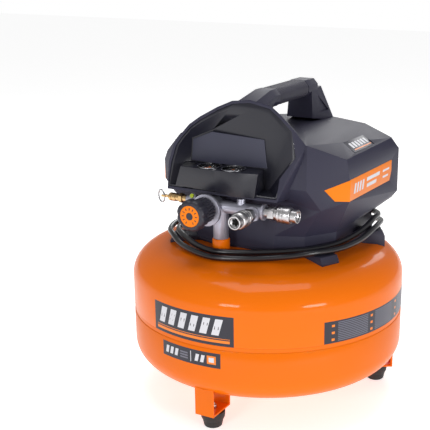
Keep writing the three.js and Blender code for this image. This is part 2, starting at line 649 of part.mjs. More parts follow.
// ---------------------------------------------------------------- air manifold and regulator
const barZ = up(manifold.barLevel);
const columnTop = barZ;
const testPort = { x: -65, along: [0, -0.8, 0.6] }; // small plugged port, leaning forward
const regulatorY = -96;
const manifoldSolid = cut(join([
  rod(boss.radius - 1.5, columnTop - bossTop, [boss.x, boss.y, bossTop + gap], [0, 0, 1]),
  hull([[-9, 8], [9, 8], [9, -8], [-9, -8]].flatMap(([x, y]) => [
    [boss.x + x * 0.5, boss.y + y, bossTop + 12], [boss.x + x - 6, boss.y + y, barZ]])),
  rod(manifold.bar, manifold.right - boss.x + 6, [boss.x - 6, boss.y, barZ], [1, 0, 0]),
  turned([[0, 0], [manifold.regulatorRadius, 0], [manifold.regulatorRadius, 20],
    [manifold.regulatorRadius + 6, 22], [manifold.regulatorRadius + 6, 27], [0, 27]],
  [manifold.regulatorX, regulatorY + 9, barZ - 4], [0, -1, 0], 24),
  rod(7, 36, [manifold.regulatorX + 6, boss.y, up(safety.level)], [-1, 0, 0]),
  turned([[0, 0], [7, 0], [5.2, 10], [0, 10]], [manifold.regulatorX - 30, boss.y, up(safety.level)],
    [-1, 0, 0]),
  rod(5, 13, [testPort.x, boss.y, up(safety.level)], testPort.along, 16),
  rod(6, 15, [8, boss.y, barZ], [0, 0, 1]),
  rod(11, 9 + 2, [frontCouplerX, boss.y, barZ - 2], [0, -1, 0], 8),
]), [
  rod(manifold.bore, columnTop - bossTop + 2, [boss.x, boss.y, bossTop - 1], [0, 0, 1], 12),
  rod(manifold.bore, 80, [boss.x, boss.y, barZ], [1, 0, 0], 12),
]);
piece('manifold_body', manifoldSolid, ...castZinc);
const plugFrom = testPort.along.map((v, i) => v * (13 + gap) + [testPort.x, boss.y, up(safety.level)][i]);
piece('test_plug', rod(3.4, 2, plugFrom, testPort.along, 6), 0xb8c832, 0.5, 0);

// regulator knob: a lobed cap with a ribbed skirt, on the bonnet's screw
const knobBack = regulatorY + 9 - 27 - gap;
const knobSides = knob.lobes * 4;
const knobOutline = (radius, dip) => Array.from({ length: knobSides }, (_, i) => {
  const a = (2 * Math.PI * i) / knobSides;
  const r = radius - dip * (i % 4 === 0 ? 1 : 0);
  return [r * Math.cos(a), r * Math.sin(a)];
});
const knobCentre = [manifold.regulatorX - 1, 0, barZ - 3];
const at = (y) => [knobCentre[0], y, knobCentre[2]];
const knobSolid = cut(join([
  pushed(knobOutline(knob.radius, 2), 17, at(knob.front + 17), [0, -1, 0]),
  pushed(knobOutline(knob.radius - 4, 1.4), knobBack - knob.front - 17, at(knobBack), [0, -1, 0]),
]), [
  rod(knob.label + gap, 4, at(knob.front + 1.4 + gap), [0, -1, 0], 32),
]);
piece('regulator_knob', knobSolid, ...charcoal);
piece('knob_disc', rod(knob.label, 1.4, at(knob.front + 1.4), [0, -1, 0], 32), ...orangeTrim);

// quick couplers: a body with a plug bore, and a spring-loaded sleeve that slides back on it
function quickCoupler(name, from, along) {
  const c = coupler;
  const body = cut(turned([
    [0, gap], [7, gap], [7, 6], [c.hex, 6], [c.hex, 16], [8.4, 16], [8.4, c.length], [0, c.length],
  ], from, along, 18), [turned([
    [0, 4], [3, 4], [3, 22], [c.bore, 24], [c.bore, c.length + 1], [0, c.length + 1],
  ], from, along, 18)]);
  piece(`${name}_coupler_body`, body, ...nickel);
  const start = 16 + c.travel + 2 * gap;
  const inner = 8.4 + gap;
  piece(`${name}_coupler_sleeve`, turned([
    [inner, start], [c.sleeve - 1, start], [c.sleeve, start + 1.5], [c.sleeve, start + c.sleeveLength],
    [c.nose + 1, start + c.sleeveLength + 2], [c.nose + 1, c.length - 3], [c.nose, c.length - 2],
    [inner, c.length - 2], [inner, start],
  ], from, along, 28), ...nickel);
}
const couplerRoot = boss.y - 11 - gap;
quickCoupler('front', [frontCouplerX, couplerRoot, barZ - 2], [0, -1, 0]);
quickCoupler('right', [manifold.right + gap, boss.y, barZ], [1, 0, 0]);
piece('coupler_elbow_ring', tube(11.5, manifold.bar + gap, 3.4, [manifold.right - 3.6, boss.y, barZ], [1, 0, 0]),
  ...castZinc);

// safety valve: brass body, and a stem pulled out by its ring
const valveFrom = [manifold.regulatorX - 40 - gap, boss.y, up(safety.level)];
const s = safety;
piece('safety_valve_body', cut(join([
  rod(5, 6, valveFrom, [-1, 0, 0], 16),
  turned([[0, 6], [s.body + 1, 6], [s.body + 1, 12], [0, 12]], valveFrom, [-1, 0, 0], 6),
  turned([[0, 12], [s.body - 0.5, 12], [s.body - 0.5, s.length - 2], [s.body - 2, s.length], [0, s.length]],
    valveFrom, [-1, 0, 0], 18),
]), [rod(2 + gap, 20, [valveFrom[0] - 14, boss.y, valveFrom[2]], [-1, 0, 0], 12)]), ...brass);
const eyeX = valveFrom[0] - s.length - 9;
piece('safety_valve_stem', cut(join([
  rod(2, 22, [eyeX + 23, boss.y, valveFrom[2]], [-1, 0, 0], 12),
  box([eyeX - 3.4, boss.y - 3.2, valveFrom[2] - 1.4], [eyeX + 3.4, boss.y + 3.2, valveFrom[2] + 1.4]),
]), [rod(s.ringWire + 1, 10, [eyeX, boss.y, valveFrom[2] - 5], [0, 0, 1], 12)]), ...brass);
const [ringTurn, ringDroop] = [s.ringTurn, s.ringDroop].map((degrees) => (degrees * Math.PI) / 180);
const ring = new THREE.TorusGeometry(s.ring, s.ringWire, 8, 24).rotateX(Math.PI / 2);
ring.translate(-s.ring, 0, 0).rotateY(-ringDroop).rotateZ(-ringTurn);
ring.translate(eyeX, boss.y, valveFrom[2]);
piece('safety_valve_ring', toSolid(ring), ...steel);

// ---------------------------------------------------------------- pump and motor inside the cover
const saddleTop = 13;
const saddle = { half: 50, front: -6, back: 62, thickness: 3 };
piece('pump_saddle', cut(join([
  box([-saddle.half, saddle.front, up(saddleTop - saddle.thickness)], [saddle.half, saddle.back, up(saddleTop)]),
  ...[-1, 1].map((sign) => box(
    [sign > 0 ? saddle.half - saddle.thickness : -saddle.half, saddle.front, up(-20)],
    [sign > 0 ? saddle.half : saddle.thickness - saddle.half, saddle.back, up(saddleTop)])),
]), [tankEnvelope]), ...steel);

const cylinderAt = (x) => [x, cylinder.y, up(crank.level)];
const wallOutline = [
  [-48, saddleTop + gap], [100, 24], [120, 60], [116, 100], [84, 124], [20, 126], [-20, 140],
  [-62, 116], [-62, 50],
];
piece('pump_frame', cut(join([
  slab(wallOutline.map(([x, level]) => [x, up(level)]), frameWall.y, frameWall.thickness),
  box([-48, saddle.front + 2, up(saddleTop + gap)], [48, saddle.back - 2, up(saddleTop + 5)]),
  box([cylinder.start, cylinder.y - 27, up(crank.level - 27)],
    [cylinder.start + 5, frameWall.y + 2, up(crank.level + 27)]),
]), [
  rod(crank.shaft + gap, 40, [crank.x, frameWall.y - 20, up(crank.level)], [0, 1, 0]),
  rod(motor.shaft + gap, 40, [motor.x, frameWall.y - 20, up(motor.level)], [0, 1, 0]),
  rod(cylinder.bore, 20, cylinderAt(cylinder.start - 5), [1, 0, 0], 24),
]), 0xa9abb0, 0.5, 0.9);

const fieldLength = frameWall.y - gap - motor.front;
const motorAt = (y) => [motor.x, y, up(motor.level)];
piece('motor_field', tube(motor.radius, motor.armature + motor.air, fieldLength, motorAt(motor.front),
  [0, 1, 0], 28), ...steel);
const beltBack = flywheel.y + flywheel.width;
piece('motor_rotor', turned([
  [0, 0], [motor.shaft, 0], [motor.shaft, 8], [motor.armature, 8], [motor.armature, 42], [motor.shaft, 42],
  [motor.shaft, flywheel.y - motor.front + 1], [pinion.radius, flywheel.y - motor.front + 1],
  [pinion.radius, beltBack - motor.front - 1], [motor.shaft, beltBack - motor.front - 1],
  [motor.shaft, beltBack - motor.front + 6], [0, beltBack - motor.front + 6],
], motorAt(motor.front), [0, 1, 0], 16), ...copper);
const discBack = -5;
const discFront = -12;
const crankAt = (y) => [crank.x, y, up(crank.level)];
piece('flywheel', turned([
  [0, discFront], [crank.discRadius, discFront], [crank.discRadius, discBack], [crank.shaft, discBack],
  [crank.shaft, flywheel.y - 6], [14, flywheel.y - 6], [14, flywheel.y + 4],
  [flywheel.radius - 7, flywheel.y + 4], [flywheel.radius - 7, flywheel.y], [flywheel.radius, flywheel.y],
  [flywheel.radius, beltBack], [flywheel.radius - 7, beltBack], [flywheel.radius - 7, flywheel.y + 8],
  [14, flywheel.y + 8], [14, beltBack], [0, beltBack],
], crankAt(0), [0, 1, 0], 28), ...castZinc);

// toothed belt: the loop around both pulleys
const beltHull = (extra, from, to) => {
  const circles = [[crank.x, crank.level, flywheel.radius], [motor.x, motor.level, pinion.radius]];
  return hull(lift(circles.flatMap(([x, level, r]) => Array.from({ length: 28 }, (_, i) => {
    const a = (2 * Math.PI * (i + 0.5)) / 28;
    return [x + (r + extra) * Math.cos(a), level + (r + extra) * Math.sin(a)];
  })).flatMap(([x, level]) => [[x, from, level], [x, to, level]])));
};
const beltY = flywheel.y + (flywheel.width - belt.width) / 2;
piece('drive_belt', cut(beltHull(gap + belt.thickness, beltY, beltY + belt.width), [
  beltHull(gap + 0.1, beltY - 5, beltY + belt.width + 5)]), ...rubber);

// wobble piston on its rod, with the crank pin, at half stroke
const pinLevel = crank.level + crank.throw;
const pinAt = (y) => [crank.x, y, up(pinLevel)];
const rodFront = cylinder.y - 4;
const pistonCrown = cylinder.start - 30;
piece('connecting_rod', join([
  rod(5, discFront - 1 - rodFront + 2, pinAt(rodFront - 2), [0, 1, 0], 16),
  rod(11, 8, pinAt(rodFront), [0, 1, 0], 24),
  hull([0, 8].flatMap((d) => [-5, 5].flatMap((z) => [
    [crank.x - 6, rodFront + d, up(pinLevel + z)], [pistonCrown + 8, rodFront + d, up(crank.level + z)]]))),
  turned([[0, 0], [15, 0], [cylinder.bore - 0.4, 3], [cylinder.bore - 0.4, 9], [0, 9]],
    cylinderAt(pistonCrown + 9), [-1, 0, 0], 28),
]), 0xb4b6ba, 0.45, 0.9);
const finProfile = Array.from({ length: cylinder.fins }, (_, i) => {
  const start = 8 + i * 12;
  const outer = cylinder.bore + cylinder.wall;
  return [[outer, start], [outer + cylinder.finHeight, start], [outer + cylinder.finHeight, start + 3],
    [outer, start + 3]];
}).flat();
const sleeveEnd = cylinder.length - 1;
piece('pump_cylinder', turned([
  [cylinder.bore, 0], [cylinder.bore + cylinder.wall, 0], ...finProfile,
  [cylinder.bore + cylinder.wall, sleeveEnd], [cylinder.bore, sleeveEnd], [cylinder.bore, 0],
], cylinderAt(cylinder.start - gap), [-1, 0, 0], 24), 0xb4b6ba, 0.4, 0.9);
const headX = cylinder.start - 2 * gap - sleeveEnd;
const head = { half: 26, thickness: 15 };
const headFins = Array.from({ length: 5 }, (_, i) => box(
  [headX - 24, cylinder.y - 22 + 10 * i - 1, up(crank.level - 40)],
  [headX - 9, cylinder.y - 22 + 10 * i + 4, up(crank.level + 40)]));
piece('cylinder_head', cut(box([headX - head.thickness, cylinder.y - head.half, up(crank.level - head.half)],
  [headX, cylinder.y + head.half, up(crank.level + head.half)]), headFins), 0xb4b6ba, 0.45, 0.9);

const checkTop = checkValve.top;
piece('check_valve', join([
  turned([[0, 0], [checkValve.radius, 0], [checkValve.radius, checkTop - 8], [0, checkTop - 8]],
    [checkValve.x, checkValve.y, up(8)], [0, 0, 1], 6),
  rod(checkValve.stem - 1, 40, [checkValve.x, checkValve.y, up(-18)], [0, 0, 1], 16),
]), ...brass);
const tubeEnd = checkValve.x - checkValve.radius - gap;
piece('discharge_tube', swept([
  [headX - 4.2, cylinder.y, up(crank.level - head.half - gap)], [headX - 4, cylinder.y, up(46)],
  [headX + 2, cylinder.y + 8, up(32)], [-94, 10, up(20)], [tubeEnd - 12, checkValve.y - 2, up(17)],
  [tubeEnd, checkValve.y, up(17)],
], 4, 8, 16), ...copper);
piece('pressure_switch', box([-46, -68, up(22)], [6, -38, up(60)]), ...blackPlastic);

// ---------------------------------------------------------------- mains cord
const grownCover = [podHulls, flareCorners, skirtCorners].map((points) => hull(lift(shrink(points, -0.6))));
piece('cord_gland', cut(box([gland.x, gland.y - 6, up(gland.level - gland.height / 2)],
  [gland.x + gland.width, gland.y + gland.depth, up(gland.level + gland.height / 2)]), grownCover),
...blackPlastic);
const exit = [gland.x - gap, gland.y + 9, up(gland.level)];
const relief = { length: 30, start: 7, end: 5.4 };
piece('strain_relief', turned([[0, 0], [relief.start, 0], [relief.end, relief.length], [0, relief.length]],
  exit, [-1, 0, 0], 16), ...rubber);

// the cord's route: out of its relief, then two turns round the skirt on the four legs
const cordStart = [exit[0] - relief.length - gap, exit[1], gland.level];
const firstTurn = [
  cordStart, [-34, 161.5, 25.5], [-64, 159, 24], [-86, 154.5, 22.8], [-105, 145, 21.5], [-130, 114, 20],
  [-137, 80, 20.2], [-139, 44, 14], [-138, 8, 8.5], [-133, -30, 5.6], [-121, -58, 4.9], [-107, -73, 4.9],
  [-86, -88, 2], [-55, -106, 0.5], [-25, -115.8, 0.8], [8, -107, 1], [42, -91, 2], [74, -75, 3.6],
  [100, -56, 4.9], [120, -24, 6], [131, 12, 9.5], [137, 46, 15], [137, 80, 20.2], [131, 115, 19],
  [105, 144, 15.5], [88, 154, 12], [64, 161, 8],
];
const secondTurn = [
  [24, 166, 1.5], [-20, 167, 0.5], [-62, 161, 2], [-101, 146, 6.5], [-133, 120, 10.6], [-143, 82, 12.2],
  [-147, 50, 11.6], [-149, 4, 4], [-144, -36, 4.8], [-131, -66, 4.9], [-118, -80, 4.9], [-94, -98.5, -1.5],
  [-60, -117, -3.6], [-22, -128, -3.9], [16, -120, -2.9], [52, -104, -1.6], [84, -89, 1.8],
  [106, -74, 4.9], [125, -49, 4.9], [135, -26, 4.7], [143, 12, 6], [147, 50, 11.6], [144, 84, 12.2],
  [136, 115, 9.5], [113, 143, 3], [88, 162, -4], [62, 175, -9], [46, 181, -10], [34.6, 182, -10],
];
piece('power_cord', swept(lift(firstTurn.concat(secondTurn)), cord.radius, cord.sides, cord.steps),
  ...rubber);
const plug = { x: 34, y: 182, level: -10, length: 40, width: 24, height: 17, slope: 27, blade: 15 };
const plugBody = (low, high) => {
  const shape = new THREE.BoxGeometry(...high.map((v, i) => v - low[i]));
  shape.translate(...high.map((v, i) => (v + low[i]) / 2));
  shape.rotateX((-plug.slope * Math.PI) / 180);
  return toSolid(shape.translate(plug.x, plug.y, up(plug.level)));
};
piece('power_plug', join([
  plugBody([-plug.length, -plug.width / 2, -plug.height / 2], [0, plug.width / 2, plug.height / 2]),
  ...[-6, 6].map((y) => plugBody([-plug.length - plug.blade, y - 0.8, -3], [-plug.length + 1, y + 0.8, 3])),
]), ...rubber);

export default group;
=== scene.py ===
import bmesh
import bpy
import math
from mathutils import Matrix, Vector


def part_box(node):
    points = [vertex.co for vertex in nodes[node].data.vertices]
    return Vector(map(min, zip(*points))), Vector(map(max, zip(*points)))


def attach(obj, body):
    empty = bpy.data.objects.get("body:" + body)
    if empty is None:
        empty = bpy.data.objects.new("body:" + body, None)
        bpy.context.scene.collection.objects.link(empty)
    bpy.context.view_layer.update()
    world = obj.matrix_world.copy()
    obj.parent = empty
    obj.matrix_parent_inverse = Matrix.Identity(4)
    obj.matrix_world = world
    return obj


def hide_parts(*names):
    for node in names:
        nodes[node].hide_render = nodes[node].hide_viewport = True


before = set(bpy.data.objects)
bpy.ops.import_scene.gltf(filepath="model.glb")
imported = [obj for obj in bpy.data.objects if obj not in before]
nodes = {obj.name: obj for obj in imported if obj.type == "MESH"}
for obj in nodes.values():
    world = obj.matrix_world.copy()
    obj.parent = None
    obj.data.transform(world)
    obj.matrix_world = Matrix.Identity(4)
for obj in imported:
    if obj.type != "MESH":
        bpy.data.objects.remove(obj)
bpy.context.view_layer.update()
scene = bpy.context.scene

# ---------------------------------------------------------------- studio
# A pale sweep of seamless paper, two softboxes in front and a wide one overhead, and the camera: low, to the
# right of the front, on a long lens.
scene.view_settings.view_transform = "Standard"
camera = bpy.data.objects.new("camera", bpy.data.cameras.new("camera"))
scene.collection.objects.link(camera)
camera.data.lens = 81.07
camera.data.sensor_width = 36.0
camera.data.shift_x = -0.1234
camera.data.shift_y = 0.079
camera.data.clip_start = 0.05
camera.data.clip_end = 20.0
turn, rise, reach = math.radians(27.47), math.radians(17.67), 1.4641
back = Vector((math.sin(turn) * math.cos(rise), -math.cos(turn) * math.cos(rise), math.sin(rise)))
camera.location = Vector((0.0, 0.0, 0.2155)) + back * reach
camera.rotation_euler = back.to_track_quat("Z", "Y").to_euler()
scene.camera = camera

world = bpy.data.worlds.new("studio")
scene.world = world
world.use_nodes = True
surround = world.node_tree.nodes["Background"]
surround.inputs["Color"].default_value = (1.0, 1.0, 1.0, 1.0)
seen = world.node_tree.nodes.new("ShaderNodeLightPath")
brightness = world.node_tree.nodes.new("ShaderNodeMapRange")
brightness.inputs["To Min"].default_value = 0.38
brightness.inputs["To Max"].default_value = 1.0
world.node_tree.links.new(seen.outputs["Is Camera Ray"], brightness.inputs["Value"])
world.node_tree.links.new(brightness.outputs["Result"], surround.inputs["Strength"])


def softbox(name, place, target, width, height, watts):
    lamp = bpy.data.lights.new(name, "AREA")
    lamp.shape = "RECTANGLE"
    lamp.size = width
    lamp.size_y = height
    lamp.energy = watts
    box = bpy.data.objects.new(name, lamp)
    scene.collection.objects.link(box)
    box.location = place
    box.rotation_euler = (Vector(place) - Vector(target)).to_track_quat("Z", "Y").to_euler()


softbox("overhead_box", (-0.1, 0.1, 2.2), (0.0, 0.0, 0.2), 1.4, 1.2, 17)
softbox("front_box", (-0.07, -1.75, 0.62), (0.04, -0.2, 0.2), 0.46, 0.26, 7)
softbox("right_box", (1.58, -0.8, 0.5), (0.14, -0.14, 0.2), 0.56, 0.26, 9)
softbox("rear_box", (-0.5, 1.9, 1.3), (0.0, 0.0, 0.25), 1.4, 0.8, 12)

sweep_mesh = bpy.data.meshes.new("paper_sweep")
sweep_mesh.from_pydata(
    [(-6, -6, 0), (6, -6, 0), (6, 6, 0), (-6, 6, 0)], [], [(0, 1, 2, 3)])
sweep = bpy.data.objects.new("paper_sweep", sweep_mesh)
scene.collection.objects.link(sweep)
paper = bpy.data.materials.new("seamless_paper")
paper.use_nodes = True
paper.node_tree.nodes["Principled BSDF"].inputs["Base Color"].default_value = (0.93, 0.93, 0.93, 1)
paper.node_tree.nodes["Principled BSDF"].inputs["Roughness"].default_value = 0.9
paper.node_tree.nodes["Principled BSDF"].inputs["Emission Color"].default_value = (1, 1, 1, 1)
paper.node_tree.nodes["Principled BSDF"].inputs["Emission Strength"].default_value = 0.6
sweep_mesh.materials.append(paper)


# ---------------------------------------------------------------- mains cord
# Round rubber-sheathed mains lead, wound twice round the skirt on the four legs of the base ring, ending in its
# moulded plug on the tank's rear shoulder.
def procedural(name, colour, roughness, metallic=0.0, tone=0.15, patch=14.0, grain=700.0, depth=0.00003,
               stretch=(1.0, 1.0, 1.0), spread=0.05, coat=0.0, coat_roughness=0.06, shine=0.5):
    """A finish with soft patches of tone, a fine grain in its bump and an uneven roughness."""
    material = bpy.data.materials.new(name)
    material.use_nodes = True
    made, link = material.node_tree.nodes, material.node_tree.links
    shader = made["Principled BSDF"]
    place = made.new("ShaderNodeTexCoord")
    mapping = made.new("ShaderNodeMapping")
    mapping.inputs["Scale"].default_value = stretch
    link.new(place.outputs["Object"], mapping.inputs["Vector"])
    patches = made.new("ShaderNodeTexNoise")
    patches.inputs["Scale"].default_value = patch
    patches.inputs["Detail"].default_value = 4.0
    link.new(place.outputs["Object"], patches.inputs["Vector"])
    mix = made.new("ShaderNodeMix")
    mix.data_type = "RGBA"
    mix.inputs["A"].default_value = (*[c * (1 - tone) for c in colour], 1)
    mix.inputs["B"].default_value = (*[min(1.0, c * (1 + tone)) for c in colour], 1)
    link.new(patches.outputs["Fac"], mix.inputs["Factor"])
    link.new(mix.outputs["Result"], shader.inputs["Base Color"])
    fine = made.new("ShaderNodeTexNoise")
    fine.inputs["Scale"].default_value = grain
    fine.inputs["Detail"].default_value = 2.0
    link.new(mapping.outputs["Vector"], fine.inputs["Vector"])
    level = made.new("ShaderNodeMapRange")
    level.inputs["To Min"].default_value = max(0.02, roughness - spread)
    level.inputs["To Max"].default_value = min(1.0, roughness + spread)
    link.new(fine.outputs["Fac"], level.inputs["Value"])
    link.new(level.outputs["Result"], shader.inputs["Roughness"])
    bump = made.new("ShaderNodeBump")
    bump.inputs["Distance"].default_value = depth
    link.new(fine.outputs["Fac"], bump.inputs["Height"])
    link.new(bump.outputs["Normal"], shader.inputs["Normal"])
    shader.inputs["Metallic"].default_value = metallic
    shader.inputs["Specular IOR Level"].default_value = shine
    if coat:
        shader.inputs["Coat Weight"].default_value = coat
        shader.inputs["Coat Roughness"].default_value = coat_roughness
    return material


def settle(name, mesh, material, replaced=(), body="compressor", bevel=0.0, segments=2, limit=30):
    """Rounds a mesh's edges, gives it its material, sets it on its body and hides the solids it stands in for."""
    piece = bpy.data.objects.new(name, mesh)
    scene.collection.objects.link(piece)
    if material is not None:
        mesh.materials.clear()
        mesh.materials.append(material)
    for face in mesh.polygons:
        face.use_smooth = True
    if bevel:
        edge = piece.modifiers.new("rounded edges", "BEVEL")
        edge.width = bevel
        edge.segments = segments
        edge.limit_method = "ANGLE"
        edge.angle_limit = math.radians(limit)
        edge.harden_normals = True
        edge.miter_outer = "MITER_ARC"
        graph = bpy.context.evaluated_depsgraph_get()
        rounded = bpy.data.meshes.new_from_object(piece.evaluated_get(graph), depsgraph=graph)
        piece.modifiers.clear()
        piece.data = rounded
        rounded.name = name
    else:
        mesh.set_sharp_from_angle(angle=math.radians(limit + 5))
    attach(piece, body)
    if replaced:
        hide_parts(*replaced)
    return piece


def grown(piece_name, tree, inputs):
    """What a node tree makes with these inputs, as a plain mesh."""
    seed = bpy.data.objects.new(piece_name + "_seed", bpy.data.meshes.new(piece_name + "_seed"))
    scene.collection.objects.link(seed)
    if "points" in inputs:
        points = inputs.pop("points")
        seed.data.from_pydata(points, [(i, i + 1) for i in range(len(points) - 1)], [])
    maker = seed.modifiers.new("maker", "NODES")
    maker.node_group = tree
    for item in tree.interface.items_tree:
        if item.item_type == "SOCKET" and item.in_out == "INPUT" and item.name in inputs:
            maker[item.identifier] = inputs[item.name]
    graph = bpy.context.evaluated_depsgraph_get()
    mesh = bpy.data.meshes.new_from_object(seed.evaluated_get(graph), depsgraph=graph)
    mesh.name = piece_name
    seed.modifiers.clear()
    bpy.data.objects.remove(seed)
    return mesh


def tree_with(name, *sockets):
    """An empty geometry tree with named inputs, and its input and output nodes."""
    tree = bpy.data.node_groups.new(name, "GeometryNodeTree")
    tree.interface.new_socket("Geometry", in_out="INPUT", socket_type="NodeSocketGeometry")
    for label, kind, value in sockets:
        socket = tree.interface.new_socket(label, in_out="INPUT", socket_type="NodeSocket" + kind)
        socket.default_value = value
    tree.interface.new_socket("Geometry", in_out="OUTPUT", socket_type="NodeSocketGeometry")
    return tree, tree.nodes.new("NodeGroupInput"), tree.nodes.new("NodeGroupOutput")


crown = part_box("tank_upper_shell")[1].z
first_turn = [
    (-8.6, 161, 26), (-34, 161.5, 25.5), (-64, 159, 24), (-86, 154.5, 22.8), (-105, 145, 21.5),
    (-130, 114, 20), (-137, 80, 20.2), (-139, 44, 14), (-138, 8, 8.5), (-133, -30, 5.6), (-121, -58, 4.9),
    (-107, -73, 4.9), (-86, -88, 2), (-55, -106, 0.5), (-25, -115.8, 0.8), (8, -107, 1), (42, -91, 2),
    (74, -75, 3.6), (100, -56, 4.9), (120, -24, 6), (131, 12, 9.5), (137, 46, 15), (137, 80, 20.2),
    (131, 115, 19), (105, 144, 15.5), (88, 154, 12), (64, 161, 8),
]
second_turn = [
    (24, 166, 1.5), (-20, 167, 0.5), (-62, 161, 2), (-101, 146, 6.5), (-133, 120, 10.6), (-143, 82, 12.2),
    (-147, 50, 11.6), (-149, 4, 4), (-144, -36, 4.8), (-131, -66, 4.9), (-118, -80, 4.9),
    (-94, -98.5, -1.5), (-60, -117, -3.6), (-22, -128, -3.9), (16, -120, -2.9), (52, -104, -1.6),
    (84, -89, 1.8), (106, -74, 4.9), (125, -49, 4.9), (135, -26, 4.7), (143, 12, 6), (147, 50, 11.6),
    (144, 84, 12.2), (136, 115, 9.5), (113, 143, 3), (88, 162, -4), (62, 175, -9), (46, 181, -10),
    (34.6, 182, -10),
]
route = [Vector((x, y, level + 1000 * crown)) / 1000 for x, y, level in first_turn + second_turn]


def smooth_path(points, steps):
    """Centripetal curve through the points."""
    ends = [2 * points[0] - points[1]] + points + [2 * points[-1] - points[-2]]
    line = []
    for i in range(1, len(ends) - 2):
        p = ends[i - 1:i + 3]
        t = [0.0]
        for a, b in zip(p, p[1:]):
            t.append(t[-1] + math.sqrt((b - a).length))
        for k in range(steps):
            s = t[1] + (t[2] - t[1]) * k / steps
            a = [(p[j] * (t[j + 1] - s) + p[j + 1] * (s - t[j])) / (t[j + 1] - t[j]) for j in range(3)]
            b = [(a[j] * (t[j + 2] - s) + a[j + 1] * (s - t[j])) / (t[j + 2] - t[j]) for j in range(2)]
            line.append((b[0] * (t[2] - s) + b[1] * (s - t[1])) / (t[2] - t[1]))
    return line + [points[-1]]


cord_radius = 0.00425
cord_line = smooth_path(route, 7)
sheath = procedural("sheath_rubber", (0.008, 0.008, 0.011), 0.3, tone=0.25, grain=420, depth=0.00004, coat=0.3,
                    coat_roughness=0.15)
cord_tree, given, made_out = tree_with(
    "sheath_along_a_line", ("Radius", "Float", cord_radius), ("Sides", "Int", 16))
to_curve = cord_tree.nodes.new("GeometryNodeMeshToCurve")
ring = cord_tree.nodes.new("GeometryNodeCurvePrimitiveCircle")
skin = cord_tree.nodes.new("GeometryNodeCurveToMesh")
skin.inputs["Fill Caps"].default_value = True
real = cord_tree.nodes.new("GeometryNodeRealizeInstances")
dress = cord_tree.nodes.new("GeometryNodeSetMaterial")
dress.inputs["Material"].default_value = sheath
for a, b in (
    (given.outputs["Geometry"], to_curve.inputs["Mesh"]),
    (given.outputs["Radius"], ring.inputs["Radius"]),
    (given.outputs["Sides"], ring.inputs["Resolution"]),
    (to_curve.outputs["Curve"], skin.inputs["Curve"]),
    (ring.outputs["Curve"], skin.inputs["Profile Curve"]),
    (skin.outputs["Mesh"], real.inputs["Geometry"]),
    (real.outputs["Geometry"], dress.inputs["Geometry"]),
    (dress.outputs["Geometry"], made_out.inputs["Geometry"]),
):
    cord_tree.links.new(a, b)
cord_mesh = grown("mains_cord", cord_tree, {"points": cord_line, "Radius": cord_radius})
mains_cord = settle("mains_cord", cord_mesh, sheath, ["power_cord"], limit=60)

# Moulded plug: a soft grey-black block with a boot, finger ridges and two flat blades.
plug_at = Vector((0.034, 0.182, crown - 0.010))
plug_turn = Matrix.Rotation(math.radians(-27), 4, "X")
blade_middle, blade_spread, blade_size = 0.04725, 0.006, (0.0153, 0.0015, 0.006)
plug_sections = [
    (0.0, 5.6, 5.2), (2.0, 6.4, 5.6), (6.0, 7.6, 6.2), (9.0, 9.4, 7.2), (13.0, 11.2, 8.0), (17.0, 11.9, 8.4),
    (19.0, 11.9, 8.4), (19.6, 11.2, 7.8), (21.4, 11.2, 7.8), (22.0, 11.9, 8.4), (23.6, 11.9, 8.4),
    (24.2, 11.2, 7.8), (26.0, 11.2, 7.8), (26.6, 11.9, 8.4), (28.2, 11.9, 8.4), (28.8, 11.2, 7.8),
    (30.6, 11.2, 7.8), (31.2, 11.9, 8.4), (38.6, 11.9, 8.4), (40.0, 10.6, 7.2),
]
plug_sides = 32
squareness = 0.45


def as_mesh(name, shape):
    """Turns a bmesh into a mesh and frees it."""
    mesh = bpy.data.meshes.new(name)
    shape.to_mesh(mesh)
    shape.free()
    return mesh


def skin_over(shape, rings):
    """Four-sided faces from each ring of corners to the next."""
    for a, b in zip(rings, rings[1:]):
        for i in range(len(a)):
            k = (i + 1) % len(a)
            shape.faces.new((a[i], a[k], b[k], b[i]))


def plug_corner(section, i):
    along, half_width, half_height = section
    a = 2 * math.pi * i / plug_sides
    y = math.copysign(abs(math.cos(a)) ** squareness, math.cos(a)) * half_width
    z = math.copysign(abs(math.sin(a)) ** squareness, math.sin(a)) * half_height
    return plug_turn @ (Vector((-along, y, z)) / 1000) + plug_at


plug_shape = bmesh.new()
plug_rings = [[plug_shape.verts.new(plug_corner(section, i)) for i in range(plug_sides)]
              for section in plug_sections]
skin_over(plug_shape, plug_rings)
plug_shape.faces.new(plug_rings[0][::-1])
plug_shape.faces.new(plug_rings[-1])
bmesh.ops.recalc_face_normals(plug_shape, faces=plug_shape.faces)
plug_rubber = procedural("plug_rubber", (0.016, 0.016, 0.018), 0.5, tone=0.2, grain=900, depth=0.00005)
mains_plug = settle("mains_plug", as_mesh("mains_plug", plug_shape), plug_rubber,
                    ["power_plug"], limit=40)
blade_shape = bmesh.new()
for side in (-1, 1):
    corners = bmesh.ops.create_cube(blade_shape, size=1.0)["verts"]
    for corner in corners:
        local = Vector((-blade_middle, side * blade_spread, 0)) + corner.co * Vector(blade_size)
        corner.co = plug_turn @ local + plug_at
blade_metal = procedural("blade_nickel", (0.62, 0.6, 0.55), 0.28, 1.0, grain=300, stretch=(8, 1, 1))
plug_blades = settle("plug_blades", as_mesh("plug_blades", blade_shape), blade_metal, bevel=0.0004)


